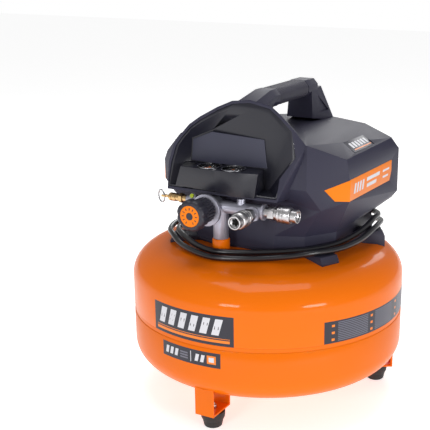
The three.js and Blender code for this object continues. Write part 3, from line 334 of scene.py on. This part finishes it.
# ---------------------------------------------------------------- tank
# Two deep-drawn steel shells joined at a rolled seam round the straight side, sprayed in gloss orange. The upper
# shell's edge laps over the lower one's lip.
def spun(profile, start=(0, 0, 0), along=(0, 0, 1), sides=64):
    """A turned body. Profile points are (radius, distance) in millimetres; it ends on the axis or on itself."""
    shape = bmesh.new()
    closed = profile[0] == profile[-1]
    spots = profile[:-1] if closed else profile
    rings = []
    for r, z in spots:
        if r < 1e-6:
            rings.append([shape.verts.new((0, 0, z / 1000))])
        else:
            rings.append([shape.verts.new((
                r / 1000 * math.cos(2 * math.pi * i / sides), r / 1000 * math.sin(2 * math.pi * i / sides),
                z / 1000)) for i in range(sides)])
    pairs = list(zip(rings, rings[1:] + ([rings[0]] if closed else [])))
    for a, b in pairs:
        for i in range(sides):
            k = (i + 1) % sides
            corners = [a[i % len(a)], a[k % len(a)], b[k % len(b)], b[i % len(b)]]
            face = [v for n, v in enumerate(corners) if v not in corners[:n]]
            if len(face) > 2:
                shape.faces.new(face)
    bmesh.ops.recalc_face_normals(shape, faces=shape.faces)
    aim = Vector((0, 0, 1)).rotation_difference(Vector(along)).to_matrix().to_4x4()
    bmesh.ops.transform(shape, matrix=Matrix.Translation(start) @ aim, verts=shape.verts)
    return as_mesh("spun", shape)


tank_radius, tank_wall = 202.6, 2.6
band_low, band_high = 88.5, 188.0
seam_low, seam_high = 133.0, 138.4


def head_line(corner_width, corner_height, rise, offset):
    """Side view of a drawn head, from the straight side to the axis."""
    inner = tank_radius - corner_width
    line = [(inner + (corner_width + offset) * math.cos(a), (corner_height + offset) * math.sin(a))
            for a in [math.pi / 2 * i / 20 for i in range(21)]]
    return line + [(inner * (1 - k / 12), corner_height + offset + rise * (1 - (1 - k / 12) ** 2))
                   for k in range(1, 13)]


def top_line(offset):
    return [(r, band_high + z) for r, z in head_line(53, 40.6, 12, offset)]


def bottom_line(offset):
    return [(r, band_low - z) for r, z in head_line(45, 37.5, 12, offset)]


orange_gloss = procedural(
    "orange_gloss_paint", (0.78, 0.15, 0.001), 0.36, tone=0.03, patch=5, grain=260, depth=0.00001,
    spread=0.03, coat=0.32, coat_roughness=0.07, shine=0.04)
edge = 1.2
upper_line = ([(tank_radius - 0.7, seam_high + 0.3), (tank_radius, seam_high + 0.3 + edge)] + top_line(0)
              + top_line(-tank_wall)[::-1] + [(tank_radius - tank_wall, seam_high + 0.3)])
settle("tank_top", spun(upper_line + upper_line[:1], sides=160), orange_gloss,
       ["tank_upper_shell"], limit=35)
groove = tank_radius - 1.0
lip = tank_radius - tank_wall - 0.3
lower_line = (bottom_line(0)[::-1] + [
    (tank_radius, seam_low - edge), (tank_radius - 0.5, seam_low - 0.3), (groove, seam_low), (groove, seam_high),
    (lip, seam_high), (lip, seam_high + 10), (lip - tank_wall, seam_high + 10), (lip - tank_wall, seam_low),
    (tank_radius - tank_wall, seam_low - tank_wall)] + bottom_line(-tank_wall))
settle("tank_bottom", spun(lower_line, sides=160), orange_gloss, ["tank_lower_shell"], limit=35)


# ---------------------------------------------------------------- labels on the tank
# Printed film stuck on the straight side: a dark panel with an orange stripe, a dark strip under it, and a wide
# notice panel to the right. Every mark on them is a plain bar.
def film(name, fields):
    """Thin skins on the tank: each field is (material, start and end angle, low, high, layer, slant). A slanted
    field's upper edge is shifted by that many degrees."""
    shape = bmesh.new()
    inks = []
    for ink, start, end, low, high, layer, slant in fields:
        if ink not in inks:
            inks.append(ink)
        steps = max(2, int(abs(end - start) / 1.5))
        inside = (tank_radius + 0.02 + 0.07 * layer) / 1000
        outside = (tank_radius + 0.09 + 0.07 * layer) / 1000
        rows = []
        for i in range(steps + 1):
            at = start + (end - start) * i / steps
            rows.append([shape.verts.new((r * math.cos(math.radians(at + lean)),
                                          r * math.sin(math.radians(at + lean)), z / 1000))
                         for r, z, lean in ((inside, low, 0), (outside, low, 0), (outside, high, slant),
                                            (inside, high, slant))])
        faces = [shape.faces.new(rows[0][::-1]), shape.faces.new(rows[-1])]
        for a, b in zip(rows, rows[1:]):
            for i in range(4):
                k = (i + 1) % 4
                faces.append(shape.faces.new((a[i], a[k], b[k], b[i])))
        for face in faces:
            face.material_index = inks.index(ink)
    bmesh.ops.recalc_face_normals(shape, faces=shape.faces)
    mesh = as_mesh(name, shape)
    for ink in inks:
        mesh.materials.append(ink)
    return settle(name, mesh, None)


black_ink = procedural("black_film", (0.014, 0.013, 0.024), 0.35, tone=0.1, grain=500, depth=0.00001)
white_ink = procedural("white_film", (0.62, 0.62, 0.66), 0.4, tone=0.03, grain=500, depth=0.00001)
grey_ink = procedural("grey_film", (0.13, 0.13, 0.17), 0.4, tone=0.1, grain=500, depth=0.00001)
orange_ink = procedural("orange_film", (0.83, 0.2, 0.002), 0.35, tone=0.03, grain=500, depth=0.00001)
main_label = [(black_ink, -113.8, -75.6, 139.3, 182.3, 0, 0.0), (orange_ink, -112.2, -77.2, 143.6, 147.6, 1, 0.0),
              (orange_ink, -112.2, -77.2, 149.3, 150.1, 1, 0.0)]
for i in range(6):
    start = -110.8 + 5.2 * i
    main_label.append((white_ink, start, start + 3.1, 154.2, 177.6, 1, 1.9))
film("front_panel_label", main_label)
strip_label = [(black_ink, -109.0, -81.1, 105.5, 127.3, 0, 0.0), (white_ink, -94.3, -94.0, 108.5, 124.3, 1, 0.0)]
for start in (-107.4, -104.9, -102.4, -92.4, -89.9):
    strip_label.append((white_ink, start, start + 1.5, 111.0, 121.8, 1, 0.7))
for low in (111.0, 114.8, 118.6):
    strip_label.append((grey_ink, -99.4, -95.6, low, low + 2.2, 1, 0.0))
strip_label.append((orange_ink, -86.8, -83.0, 110.4, 122.6, 1, 0.0))
strip_label.append((white_ink, -86.0, -83.8, 113.0, 120.0, 2, 0.0))
film("front_strip_label", strip_label)
notice = [(black_ink, -40.6, 24.0, 139.6, 171.5, 0, 0.0)]
for column, start in enumerate((-37.0, -17.5, 2.0)):
    for row in range(11):
        low = 141.8 + 2.6 * row
        notice.append((grey_ink, start + 2.4, start + 17.6 - 2.2 * ((row * 3 + column) % 3), low, low + 1.3, 1, 0.0))
    for low in (143.0, 153.0, 163.0):
        notice.append((orange_ink, start - 0.4, start + 0.9, low, low + 3.4, 1, 0.0))
film("side_notice_label", notice)


# ---------------------------------------------------------------- outlet fitting and drain cock
# A steel boss welded to the top shell and painted with it, with the weld's bead round its foot; and a brass
# drain cock with a wing key screwed into the lower shell.
def cad_shape(node):
    """A merged copy of a CAD solid with its flat faces whole."""
    shape = bmesh.new()
    shape.from_mesh(nodes[node].data)
    bmesh.ops.remove_doubles(shape, verts=shape.verts, dist=2e-6)
    bmesh.ops.dissolve_limit(shape, angle_limit=math.radians(1.0), verts=shape.verts, edges=shape.edges)
    return as_mesh(node, shape)


settle("outlet_fitting", spun([
    (6, -12), (12.5, -12), (12.5, 14.2), (11.6, 15.5), (6.8, 15.5), (6, 14.7), (6, -12)],
    (-0.025, -0.097, crown)), orange_gloss, ["outlet_boss"], bevel=0.0003)
weld_radius, weld_steps = 12.9, 72
head_rise, head_reach = 12, 150
weld = []
for i in range(weld_steps + 1):
    a = 2 * math.pi * i / weld_steps
    x, y = -25 + weld_radius * math.cos(a), -97 + weld_radius * math.sin(a)
    weld.append(Vector((x, y, 1000 * crown - head_rise * (x * x + y * y) / head_reach ** 2 + 0.5)) / 1000)
weld_mesh = grown("weld_bead", cord_tree, {"points": weld, "Radius": 0.0013, "Sides": 8})
settle("weld_bead", weld_mesh, orange_gloss, limit=60)
brass = procedural("turned_brass", (0.7, 0.47, 0.22), 0.3, 1.0, tone=0.12, grain=260, stretch=(1, 6, 6),
                   depth=0.00002)
for node in ("drain_cock_body", "drain_cock_key"):
    settle(node + "_brass", cad_shape(node), brass, [node],
           "drain_key" if node.endswith("key") else "compressor", bevel=0.0005)

# ---------------------------------------------------------------- feet
# Bent steel straps welded under the tank carry tapered rubber feet, each held by a bolt and a nut.
foot_rubber = procedural("foot_rubber", (0.014, 0.014, 0.015), 0.62, tone=0.25, grain=600, depth=0.0001)
zinc = procedural("zinc_plate", (0.5, 0.51, 0.53), 0.34, 1.0, grain=300, stretch=(1, 1, 5))
for name in ("front", "right", "left"):
    settle(f"strap_{name}", cad_shape(f"foot_bracket_{name}"), orange_gloss,
           [f"foot_bracket_{name}"], bevel=0.0009, segments=3)
    low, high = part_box(f"rubber_foot_{name}")
    middle = ((low.x + high.x) / 2, (low.y + high.y) / 2, 0)
    settle(f"foot_{name}", spun([
        (3.3, 10), (7, 10), (7, 0), (11.5, 0), (13, 1.5), (14.9, 10.6), (15.7, 11.4), (15.7, 12.4), (17, 14.4),
        (17.5, 18), (17.5, 23.7), (3.3, 23.7), (3.3, 10)], middle, sides=48), foot_rubber,
        [f"rubber_foot_{name}"], bevel=0.0004)
    settle(f"bolt_{name}", cad_shape(f"foot_bolt_{name}"), zinc, [f"foot_bolt_{name}"],
           bevel=0.0003)

# ---------------------------------------------------------------- pump and motor
# Oil-free pump under the cover: a folded steel saddle, a cast frame, a universal motor, a toothed belt to the
# flywheel, and a wobble piston in a finned cylinder. They are seen only through the vents.
cast_grey = procedural("cast_aluminium", (0.42, 0.43, 0.45), 0.5, 0.9, tone=0.2, grain=500, depth=0.00012)
laminated = procedural("laminated_steel", (0.3, 0.31, 0.33), 0.42, 0.9, grain=260, stretch=(1, 12, 1))
wound = procedural("wound_copper", (0.5, 0.2, 0.07), 0.4, 0.9, grain=300, stretch=(1, 10, 1))
belt_rubber = procedural("belt_rubber", (0.015, 0.015, 0.016), 0.7, grain=500)
for finish, members in (
    (zinc, ["pump_saddle"]),
    (cast_grey, ["pump_frame", "flywheel", "connecting_rod", "pump_cylinder", "cylinder_head"]),
    (laminated, ["motor_field"]), (wound, ["motor_rotor", "discharge_tube"]), (brass, ["check_valve"]),
    (belt_rubber, ["drive_belt"]),
    (procedural("switch_case", (0.02, 0.02, 0.022), 0.5), ["pressure_switch"]),
):
    for node in members:
        nodes[node].data.materials.clear()
        nodes[node].data.materials.append(finish)

# ---------------------------------------------------------------- cover and base ring
# Injection-moulded charcoal cover in flat facets with softened creases, over a base ring whose four legs carry
# the wound cord. Both are lightly grained.
charcoal = procedural("charcoal_moulding", (0.027, 0.026, 0.048), 0.52, tone=0.1, patch=9, grain=1400,
                      depth=0.00005, spread=0.06, shine=0.32)
black_moulding = procedural("black_moulding", (0.011, 0.011, 0.019), 0.36, tone=0.12, grain=1400,
                            depth=0.00004)
settle("cover_shell", cad_shape("shroud_cover"), charcoal, ["shroud_cover"],
       bevel=0.0012, segments=3, limit=14)
settle("base_ring", cad_shape("shroud_base"), charcoal, ["shroud_base"], bevel=0.0009,
       limit=22)
orange_trim = procedural("orange_trim", (0.83, 0.2, 0.002), 0.4, tone=0.04, grain=900, depth=0.00002,
                         shine=0.2)
badge_black = procedural("badge_film", (0.03, 0.03, 0.046), 0.36, tone=0.08, grain=900)


def flat_marks(name, origin, along, upward, bars, finish, side):
    """Thin slanted bars on a flat panel. Each is (start, end, low, high, slant) in the panel's own frame."""
    along, upward = Vector(along).normalized(), Vector(upward).normalized()
    outward = along.cross(upward)
    shape = bmesh.new()
    for start, end, low, high, slant in bars:
        corners = []
        for rise in (-0.05, 0.2):
            for s, t in ((start, low), (end, low), (end + slant, high), (start + slant, high)):
                p = (Vector(origin) + along * s + upward * t + outward * rise) / 1000
                corners.append(shape.verts.new((p.x * side, p.y, p.z + crown)))
        for face in ((0, 1, 2, 3), (7, 6, 5, 4), (0, 4, 5, 1), (1, 5, 6, 2), (2, 6, 7, 3), (3, 7, 4, 0)):
            shape.faces.new([corners[i] for i in face])
    bmesh.ops.recalc_face_normals(shape, faces=shape.faces)
    settle(name, as_mesh(name, shape), finish)


band_corner, band_run = (150, -47, 78), (5, 177, 0)
badge_corner, badge_run = (143, -15, 140), (2, 115, 0)
shoulder_lean = 2.35
badge_rise = (-shoulder_lean * badge_run[1], shoulder_lean * badge_run[0], math.hypot(*badge_run))
for side, sign in (("right", 1), ("left", -1)):
    settle(f"band_{side}", cad_shape(f"side_band_{side}"), orange_trim,
           [f"side_band_{side}"], bevel=0.0004, limit=22)
    flat_marks(f"band_{side}_marks", band_corner, band_run, (0, 0, 1),
               [(14 + 9 * i, 19 + 9 * i, 8, 22, 4) for i in range(4)]
               + [(58, 104, 17, 22, 1.4), (58, 92, 8, 13, 1.4), (116, 140, 18, 21, 1), (116, 136, 9, 12, 1)],
               white_ink, sign)
    settle(f"badge_{side}", cad_shape(f"top_badge_{side}"), badge_black,
           [f"top_badge_{side}"], bevel=0.0004)
    flat_marks(f"badge_{side}_marks", badge_corner, badge_run, badge_rise,
               [(12 + 9.6 * i, 18 + 9.6 * i, 8, 19, 4.5) for i in range(6)], white_ink, sign)
    flat_marks(f"badge_{side}_line", badge_corner, badge_run, badge_rise, [(9, 66, 3.4, 5.2, 0.8)],
               orange_ink, sign)
settle("cord_gland_block", cad_shape("cord_gland"), black_moulding, ["cord_gland"],
       bevel=0.001)
relief_radius, relief_taper, relief_ribs = 7, 1.6, 7
relief_profile = [(0, 0), (relief_radius, 0)]
for i in range(relief_ribs):
    outer = relief_radius - relief_taper * (i + 0.5) / relief_ribs
    relief_profile += [(outer, 2 + 4 * i), (outer, 3.8 + 4 * i), (outer - 0.9, 4.0 + 4 * i),
                       (outer - 0.9, 5.6 + 4 * i)]
relief_profile += [(5.2, 30), (0, 30)]
settle("ribbed_strain_relief", spun(relief_profile, (0.0217, 0.161, crown + 0.026), (-1, 0, 0), 32),
       sheath, ["strain_relief"], bevel=0.0002)

# ---------------------------------------------------------------- front panel, gauges and switch
# Black moulded dish let into the arched front, with a flat deck that holds two dial gauges and a rocker.
settle("panel_dish", cad_shape("front_panel"), black_moulding, ["front_panel"],
       bevel=0.0004, limit=28)
insert_grey = procedural("insert_grey", (0.03, 0.031, 0.058), 0.42, tone=0.08, grain=1400, depth=0.00004)
insert_shape = bmesh.new()
insert_front = [insert_shape.verts.new((x / 1000, y / 1000, crown + level / 1000)) for x, y, level in (
    (-84, -76.0, 118.5), (-49, -79.5, 118.5), (38, -76.0, 118.5), (33.5, -76.0, 158.6), (-47.6, -79.5, 163.4),
    (-81, -76.0, 149.5))]
insert_back = [insert_shape.verts.new((v.co.x, -0.0752, v.co.z)) for v in insert_front]
for face in ((0, 1, 4, 5), (1, 2, 3, 4)):
    insert_shape.faces.new([insert_front[i] for i in face])
    insert_shape.faces.new([insert_back[i] for i in reversed(face)])
for i in range(6):
    k = (i + 1) % 6
    insert_shape.faces.new((insert_front[k], insert_front[i], insert_back[i], insert_back[k]))
bmesh.ops.recalc_face_normals(insert_shape, faces=insert_shape.faces)
settle("panel_insert", as_mesh("panel_insert", insert_shape), insert_grey, bevel=0.0005, limit=20)
arc_tree, given, made_out = tree_with(
    "blocks_on_an_arc", ("Count", "Int", 9), ("Radius", "Float", 0.01), ("Start", "Float", 0.0),
    ("Step", "Float", 0.5), ("Size", "Vector", (0.001, 0.001, 0.001)), ("Finish", "Material", None))
line = arc_tree.nodes.new("GeometryNodeMeshLine")
number = arc_tree.nodes.new("GeometryNodeInputIndex")
angle = arc_tree.nodes.new("ShaderNodeMath")
angle.operation = "MULTIPLY_ADD"
cosine, sine = [arc_tree.nodes.new("ShaderNodeMath") for _ in range(2)]
cosine.operation, sine.operation = "COSINE", "SINE"
across, upward = [arc_tree.nodes.new("ShaderNodeMath") for _ in range(2)]
across.operation = upward.operation = "MULTIPLY"
spot, turned_by = [arc_tree.nodes.new("ShaderNodeCombineXYZ") for _ in range(2)]
moved = arc_tree.nodes.new("GeometryNodeSetPosition")
block = arc_tree.nodes.new("GeometryNodeMeshCube")
spread_out = arc_tree.nodes.new("GeometryNodeInstanceOnPoints")
real = arc_tree.nodes.new("GeometryNodeRealizeInstances")
dress = arc_tree.nodes.new("GeometryNodeSetMaterial")
for a, b in (
    (given.outputs["Count"], line.inputs["Count"]),
    (number.outputs[0], angle.inputs[0]), (given.outputs["Step"], angle.inputs[1]),
    (given.outputs["Start"], angle.inputs[2]),
    (angle.outputs[0], cosine.inputs[0]), (angle.outputs[0], sine.inputs[0]),
    (cosine.outputs[0], across.inputs[0]), (given.outputs["Radius"], across.inputs[1]),
    (sine.outputs[0], upward.inputs[0]), (given.outputs["Radius"], upward.inputs[1]),
    (across.outputs[0], spot.inputs["X"]), (upward.outputs[0], spot.inputs["Y"]),
    (angle.outputs[0], turned_by.inputs["Z"]),
    (line.outputs["Mesh"], moved.inputs["Geometry"]), (spot.outputs[0], moved.inputs["Position"]),
    (given.outputs["Size"], block.inputs["Size"]),
    (moved.outputs["Geometry"], spread_out.inputs["Points"]), (block.outputs["Mesh"],
                                                             spread_out.inputs["Instance"]),
    (turned_by.outputs[0], spread_out.inputs["Rotation"]),
    (spread_out.outputs["Instances"], real.inputs["Geometry"]),
    (real.outputs["Geometry"], dress.inputs["Geometry"]), (given.outputs["Finish"], dress.inputs["Material"]),
    (dress.outputs["Geometry"], made_out.inputs["Geometry"]),
):
    arc_tree.links.new(a, b)


def blocks_on_arc(name, count, radius, start, step, size, finish, place, along=(0, 0, 1)):
    mesh = grown(name, arc_tree, {"Count": count, "Radius": radius / 1000, "Start": math.radians(start),
                                  "Step": math.radians(step), "Size": [v / 1000 for v in size],
                                  "Finish": finish})
    aim = Vector((0, 0, 1)).rotation_difference(Vector(along)).to_matrix().to_4x4()
    mesh.transform(Matrix.Translation(place) @ aim)
    return mesh


dial_black = procedural("dial_black", (0.02, 0.02, 0.022), 0.5, tone=0.1, grain=700)
needle_orange = procedural("needle_orange", (0.85, 0.2, 0.01), 0.4)
window = bpy.data.materials.new("gauge_window")
window.use_nodes = True
glass = window.node_tree.nodes["Principled BSDF"]
glass.inputs["Transmission Weight"].default_value = 1.0
glass.inputs["Roughness"].default_value = 0.03
glass.inputs["IOR"].default_value = 1.02
smears = window.node_tree.nodes.new("ShaderNodeTexNoise")
smears.inputs["Scale"].default_value = 180
dull = window.node_tree.nodes.new("ShaderNodeBump")
dull.inputs["Distance"].default_value = 0.000004
window.node_tree.links.new(smears.outputs["Fac"], dull.inputs["Height"])
window.node_tree.links.new(dull.outputs["Normal"], glass.inputs["Normal"])
bezel_steel = procedural("bezel_steel", (0.28, 0.28, 0.3), 0.25, 1.0, grain=260, stretch=(1, 1, 8))
gauge_y, rim_top, dial_depth = -0.0943, crown + 0.117 + 0.0016, 0.00425
for name, x in (("tank", -0.043), ("line", -0.005)):
    settle(f"{name}_bezel", spun([
        (0, -10.5), (14.5, -10.5), (14.5, -5), (17, -5), (17, -1.3), (17.8, -1.3), (17.8, -0.3), (17.3, 0),
        (16.5, 0), (16.0, -0.6), (16.0, -4.4), (0, -4.4)], (x, gauge_y, rim_top)), bezel_steel,
        [f"{name}_gauge_case"], bevel=0.00015)
    face = (x, gauge_y, rim_top - dial_depth)
    settle(f"{name}_dial", spun([(0, -0.1), (15.6, -0.1), (15.6, 0.15), (0, 0.15)], face),
           dial_black)
    settle(f"{name}_long_ticks", blocks_on_arc(
        f"{name}_long_ticks", 7, 12.6, -45, 45, (3.2, 0.8, 0.12), white_ink,
        (x, gauge_y, face[2] + 0.0002)), white_ink)
    settle(f"{name}_short_ticks", blocks_on_arc(
        f"{name}_short_ticks", 31, 13.4, -45, 9, (1.4, 0.35, 0.1), white_ink,
        (x, gauge_y, face[2] + 0.00019)), white_ink)
    settle(f"{name}_needle_blade", cad_shape(f"{name}_gauge_needle"), needle_orange,
           [f"{name}_gauge_needle"], f"{name}_needle", bevel=0.0002)
    settle(f"{name}_window", cad_shape(f"{name}_gauge_lens"), window,
           [f"{name}_gauge_lens"], bevel=0.0002)
rocker_black = procedural("rocker_black", (0.03, 0.03, 0.033), 0.3, grain=800)
settle("rocker", cad_shape("power_switch"), rocker_black, ["power_switch"], "switch",
       bevel=0.0004, segments=3)

# ---------------------------------------------------------------- carry handle
# The bar grows out of the arch and ends in a post with a triangular pocket on each side. A rubber sleeve with
# narrow grooves is moulded round its middle.
settle("handle_bar", cad_shape("carry_handle"), charcoal, ["carry_handle"], bevel=0.0026,
       segments=4, limit=20)
grip_rubber = procedural("grip_rubber", (0.036, 0.034, 0.054), 0.6, tone=0.16, grain=1300, depth=0.0001)
grip_low, grip_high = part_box("handle_grip")
grip_shape = bmesh.new()
bar_height = 24
bar_corners = [(-14, 0), (14, 0), (19, 7), (19, 16), (12, bar_height), (-12, bar_height), (-19, 16), (-19, 7)]
corner_reach, corner_steps = 3.2, 4
groove_pitch, rib_room, sleeve_depth = 3.6, 3.3, 1.25


def grip_outline(inset):
    """The bar's section with rounded corners, drawn in from its surface by inset."""
    spots = []
    for i, corner in enumerate(bar_corners):
        here = Vector(corner)
        before = (Vector(bar_corners[i - 1]) - here).normalized() * corner_reach
        after = (Vector(bar_corners[(i + 1) % len(bar_corners)]) - here).normalized() * corner_reach
        for k in range(corner_steps + 1):
            t = k / corner_steps
            spots.append((here + before) * (1 - t) ** 2 + here * 2 * t * (1 - t) + (here + after) * t ** 2)
    middle = Vector((0, bar_height / 2))
    return [spot + (middle - spot).normalized() * inset for spot in spots]


sections = []
y = grip_low.y * 1000
while y < grip_high.y * 1000 - rib_room:
    sections += [(y, 0.5), (y + 0.4, 0.05), (y + 2.4, 0.05), (y + 2.8, 0.55), (y + 3.2, 0.6)]
    y += groove_pitch
sections.append((grip_high.y * 1000, 0.5))
outer_rings, inner_rings = [
    [[grip_shape.verts.new((p.x / 1000, y / 1000, grip_high.z + (p.y - bar_height) / 1000))
      for p in grip_outline(inset if outside else sleeve_depth)] for y, inset in sections]
    for outside in (True, False)]
for rings in (outer_rings, inner_rings, (outer_rings[0], inner_rings[0]), (outer_rings[-1], inner_rings[-1])):
    skin_over(grip_shape, rings)
bmesh.ops.recalc_face_normals(grip_shape, faces=grip_shape.faces)
settle("grip_sleeve", as_mesh("grip_sleeve", grip_shape), grip_rubber, ["handle_grip"], limit=25)

# ---------------------------------------------------------------- manifold and regulator
# Die-cast manifold on the outlet fitting, with the regulator's bonnet, the port for the small yellow test plug
# and the two outlets. The knob is a moulded cap with finger lobes and a printed disc.
die_cast = procedural("die_cast", (0.45, 0.45, 0.53), 0.44, 0.7, tone=0.18, patch=60, grain=420,
                      depth=0.00008)
settle("manifold_casting", cad_shape("manifold_body"), die_cast, ["manifold_body"],
       bevel=0.0005, limit=35)
settle("elbow_collar", spun([(9.3, 0), (11, 0), (11.5, 0.5), (11.5, 2.9), (11, 3.4), (9.3, 3.4), (9.3, 0)],
                            (0.0424, -0.097, crown + 0.062), (1, 0, 0)), die_cast,
       ["coupler_elbow_ring"])
yellow = procedural("yellow_plug", (0.5, 0.62, 0.03), 0.4)
settle("port_plug", cad_shape("test_plug"), yellow, ["test_plug"], bevel=0.0003)

knob_axis = Vector((-0.041, 0, crown + 0.059))
knob_sides, finger_lobes, neck_ribs = 144, 8, 24
knob_sections = [
    (-114.3, 15.0, 0.6), (-114.3, 17.2, 0.9), (-115.0, 18.3, 1.2), (-134.6, 18.5, 1.4), (-136.0, 19.0, 1.2),
    (-137.6, 21.4, 1.3), (-138.4, 22.2, 1.5), (-150.4, 22.4, 1.6), (-152.8, 21.6, 1.5), (-154.8, 18.8, 1.0),
    (-155.0, 18.0, 0.6), (-155.0, 15.4, 0.0), (-153.7, 15.3, 0.0)]
knob_shape = bmesh.new()
knob_rings = []
for y, radius, dip in knob_sections:
    lobes = finger_lobes if radius > 19.5 or y < -150 else neck_ribs
    ring = []
    for i in range(knob_sides):
        a = 2 * math.pi * i / knob_sides
        r = (radius - dip * (0.5 + 0.5 * math.cos(lobes * a)) ** 3) / 1000
        ring.append(knob_shape.verts.new((knob_axis.x + r * math.cos(a), y / 1000,
                                          knob_axis.z + r * math.sin(a))))
    knob_rings.append(ring)
skin_over(knob_shape, knob_rings)
knob_shape.faces.new(knob_rings[0])
knob_shape.faces.new(knob_rings[-1])
bmesh.ops.recalc_face_normals(knob_shape, faces=knob_shape.faces)
knob_black = procedural("knob_black", (0.018, 0.017, 0.028), 0.46, tone=0.12, grain=1200, depth=0.00006)
settle("knob_cap", as_mesh("knob_cap", knob_shape), knob_black, ["regulator_knob"],
       "regulator_knob", limit=32)
settle("knob_face", spun([(0, 0), (14.8, 0), (15.0, 0.3), (15.0, 1.1), (0, 1.1)],
                         (knob_axis.x, -0.1536, knob_axis.z), (0, -1, 0)), orange_trim,
       ["knob_disc"], "regulator_knob")
settle("knob_marks", blocks_on_arc("knob_marks", 11, 10.6, -60, 30, (3.2, 1.1, 0.2), black_ink,
                                   (knob_axis.x, -0.1548, knob_axis.z), (0, -1, 0)), black_ink,
       (), "regulator_knob")
settle("knob_centre", spun([(0, 0), (5.2, 0), (5.2, 0.2), (0, 0.2)], (knob_axis.x, -0.1547, knob_axis.z),
                           (0, -1, 0)), black_ink, (), "regulator_knob")

# ---------------------------------------------------------------- quick couplers
# Nickel-plated quick couplers: a hexagonal body with a plug bore and a grooved sleeve that slides back against
# its spring. One faces the front, one the right side.
nickel = procedural("nickel_plate", (0.55, 0.54, 0.55), 0.32, 1.0, tone=0.08, grain=220, depth=0.00002,
                    spread=0.05)
seal_at, balls_at = 0.030, 0.044
# Near-black metal for the seal ring deep in each bore: its dark colour is painted shade of the bore's inside.
painted_bore_shade = procedural("painted_bore_shade", (0.05, 0.045, 0.04), 0.4, 0.8, grain=400)
for name, start, along in (
    ("front", (0.031, -0.1083, crown + 0.060), (0, -1, 0)), ("right", (0.0463, -0.097, crown + 0.062), (1, 0, 0)),
):
    settle(f"{name}_stem", spun([
        (3, 4), (3, 22), (5.6, 24), (5.6, 45.4), (7.4, 47.2), (7.4, 49.5), (7.9, 50), (9.1, 50), (9.5, 49.5),
        (9.5, 42.2), (8.9, 41.4), (8.4, 41.4), (8.4, 16.0), (7, 16), (7, 6), (7, 0.3), (0, 0.3), (0, 4), (3, 4)],
        start, along), nickel, [f"{name}_coupler_body"], bevel=0.0002)
    nut = spun([(7.2, 6), (9.4, 6), (10.5, 6.8), (10.5, 15.2), (9.4, 16), (7.2, 16), (7.2, 6)], start, along, 6)
    settle(f"{name}_hexagon", nut, nickel, bevel=0.0004)
    sleeve = [(8.7, 20.6), (10.6, 20.6), (11.5, 21.4), (11.5, 23.4), (10.9, 24.0), (10.9, 25.2), (12.0, 26.0),
              (12.0, 29.4), (11.7, 29.7), (11.7, 30.7), (12.0, 31.0), (12.0, 37.6), (11.3, 39.4), (10.2, 40.6),
              (8.7, 40.6), (8.7, 20.6)]
    settle(f"{name}_sleeve_shell", spun(sleeve, start, along), nickel,
           [f"{name}_coupler_sleeve"], f"{name}_sleeve", bevel=0.0002)
    # A seal ring inside the bore, coloured near-black as painted shade.
    settle(f"{name}_shaded_seal", spun([(3.6, 0), (5.5, 0), (5.5, 3.0), (3.6, 3.0), (3.6, 0)],
                                Vector(start) + Vector(along) * seal_at, along, 48),
           painted_bore_shade)
    settle(f"{name}_lock_balls", blocks_on_arc(
        f"{name}_lock_balls", 6, 5.1, 0, 60, (1.6, 1.6, 1.6), zinc,
        Vector(start) + Vector(along) * balls_at, along), zinc, bevel=0.0005)

# ---------------------------------------------------------------- safety valve
# Turned brass relief valve on the manifold's left arm, with a pull stem and a split steel ring.
valve = Vector((-0.0803, -0.097, crown + 0.0665))
settle("valve_barrel", spun([
    (2.4, 30), (4.5, 30), (6, 28), (6, 24.8), (5.4, 24.4), (5.4, 23.6), (6, 23.2), (6, 17.6), (5.2, 17.2),
    (5.2, 12), (5, 12), (5, 0), (0, 0), (0, 14), (2.4, 14), (2.4, 30)], valve, (-1, 0, 0), 48), brass,
    ["safety_valve_body"], bevel=0.0003)
settle("valve_hexagon", spun([(5.2, 6), (6.8, 6), (7.5, 6.7), (7.5, 11.3), (6.8, 12), (5.2, 12), (5.2, 6)],
                             valve, (-1, 0, 0), 6), brass, bevel=0.0003)
settle("valve_pull_stem", cad_shape("safety_valve_stem"), brass, ["safety_valve_stem"],
       "valve_stem", bevel=0.0004, limit=35)
wire = procedural("ring_steel", (0.55, 0.55, 0.56), 0.22, 1.0, grain=300)
ring_radius, wire_radius, ring_steps = 0.009, 0.0012, 64
droop, swing = math.radians(14), math.radians(28)
eye = Vector((-0.1193, -0.097, crown + 0.0665))
ring_place = (Matrix.Translation(eye) @ Matrix.Rotation(-swing, 4, "Z") @ Matrix.Rotation(-droop, 4, "Y")
              @ Matrix.Translation((-ring_radius, 0, 0)))
loop = [ring_place @ Vector((ring_radius * math.cos(a), 0, ring_radius * math.sin(a)))
        for a in [2 * math.pi * i / ring_steps for i in range(ring_steps + 1)]]
ring_mesh = grown("pull_ring", cord_tree, {"points": loop, "Radius": wire_radius, "Sides": 12})
settle("pull_ring", ring_mesh, wire, ["safety_valve_ring"], "valve_ring", limit=60)
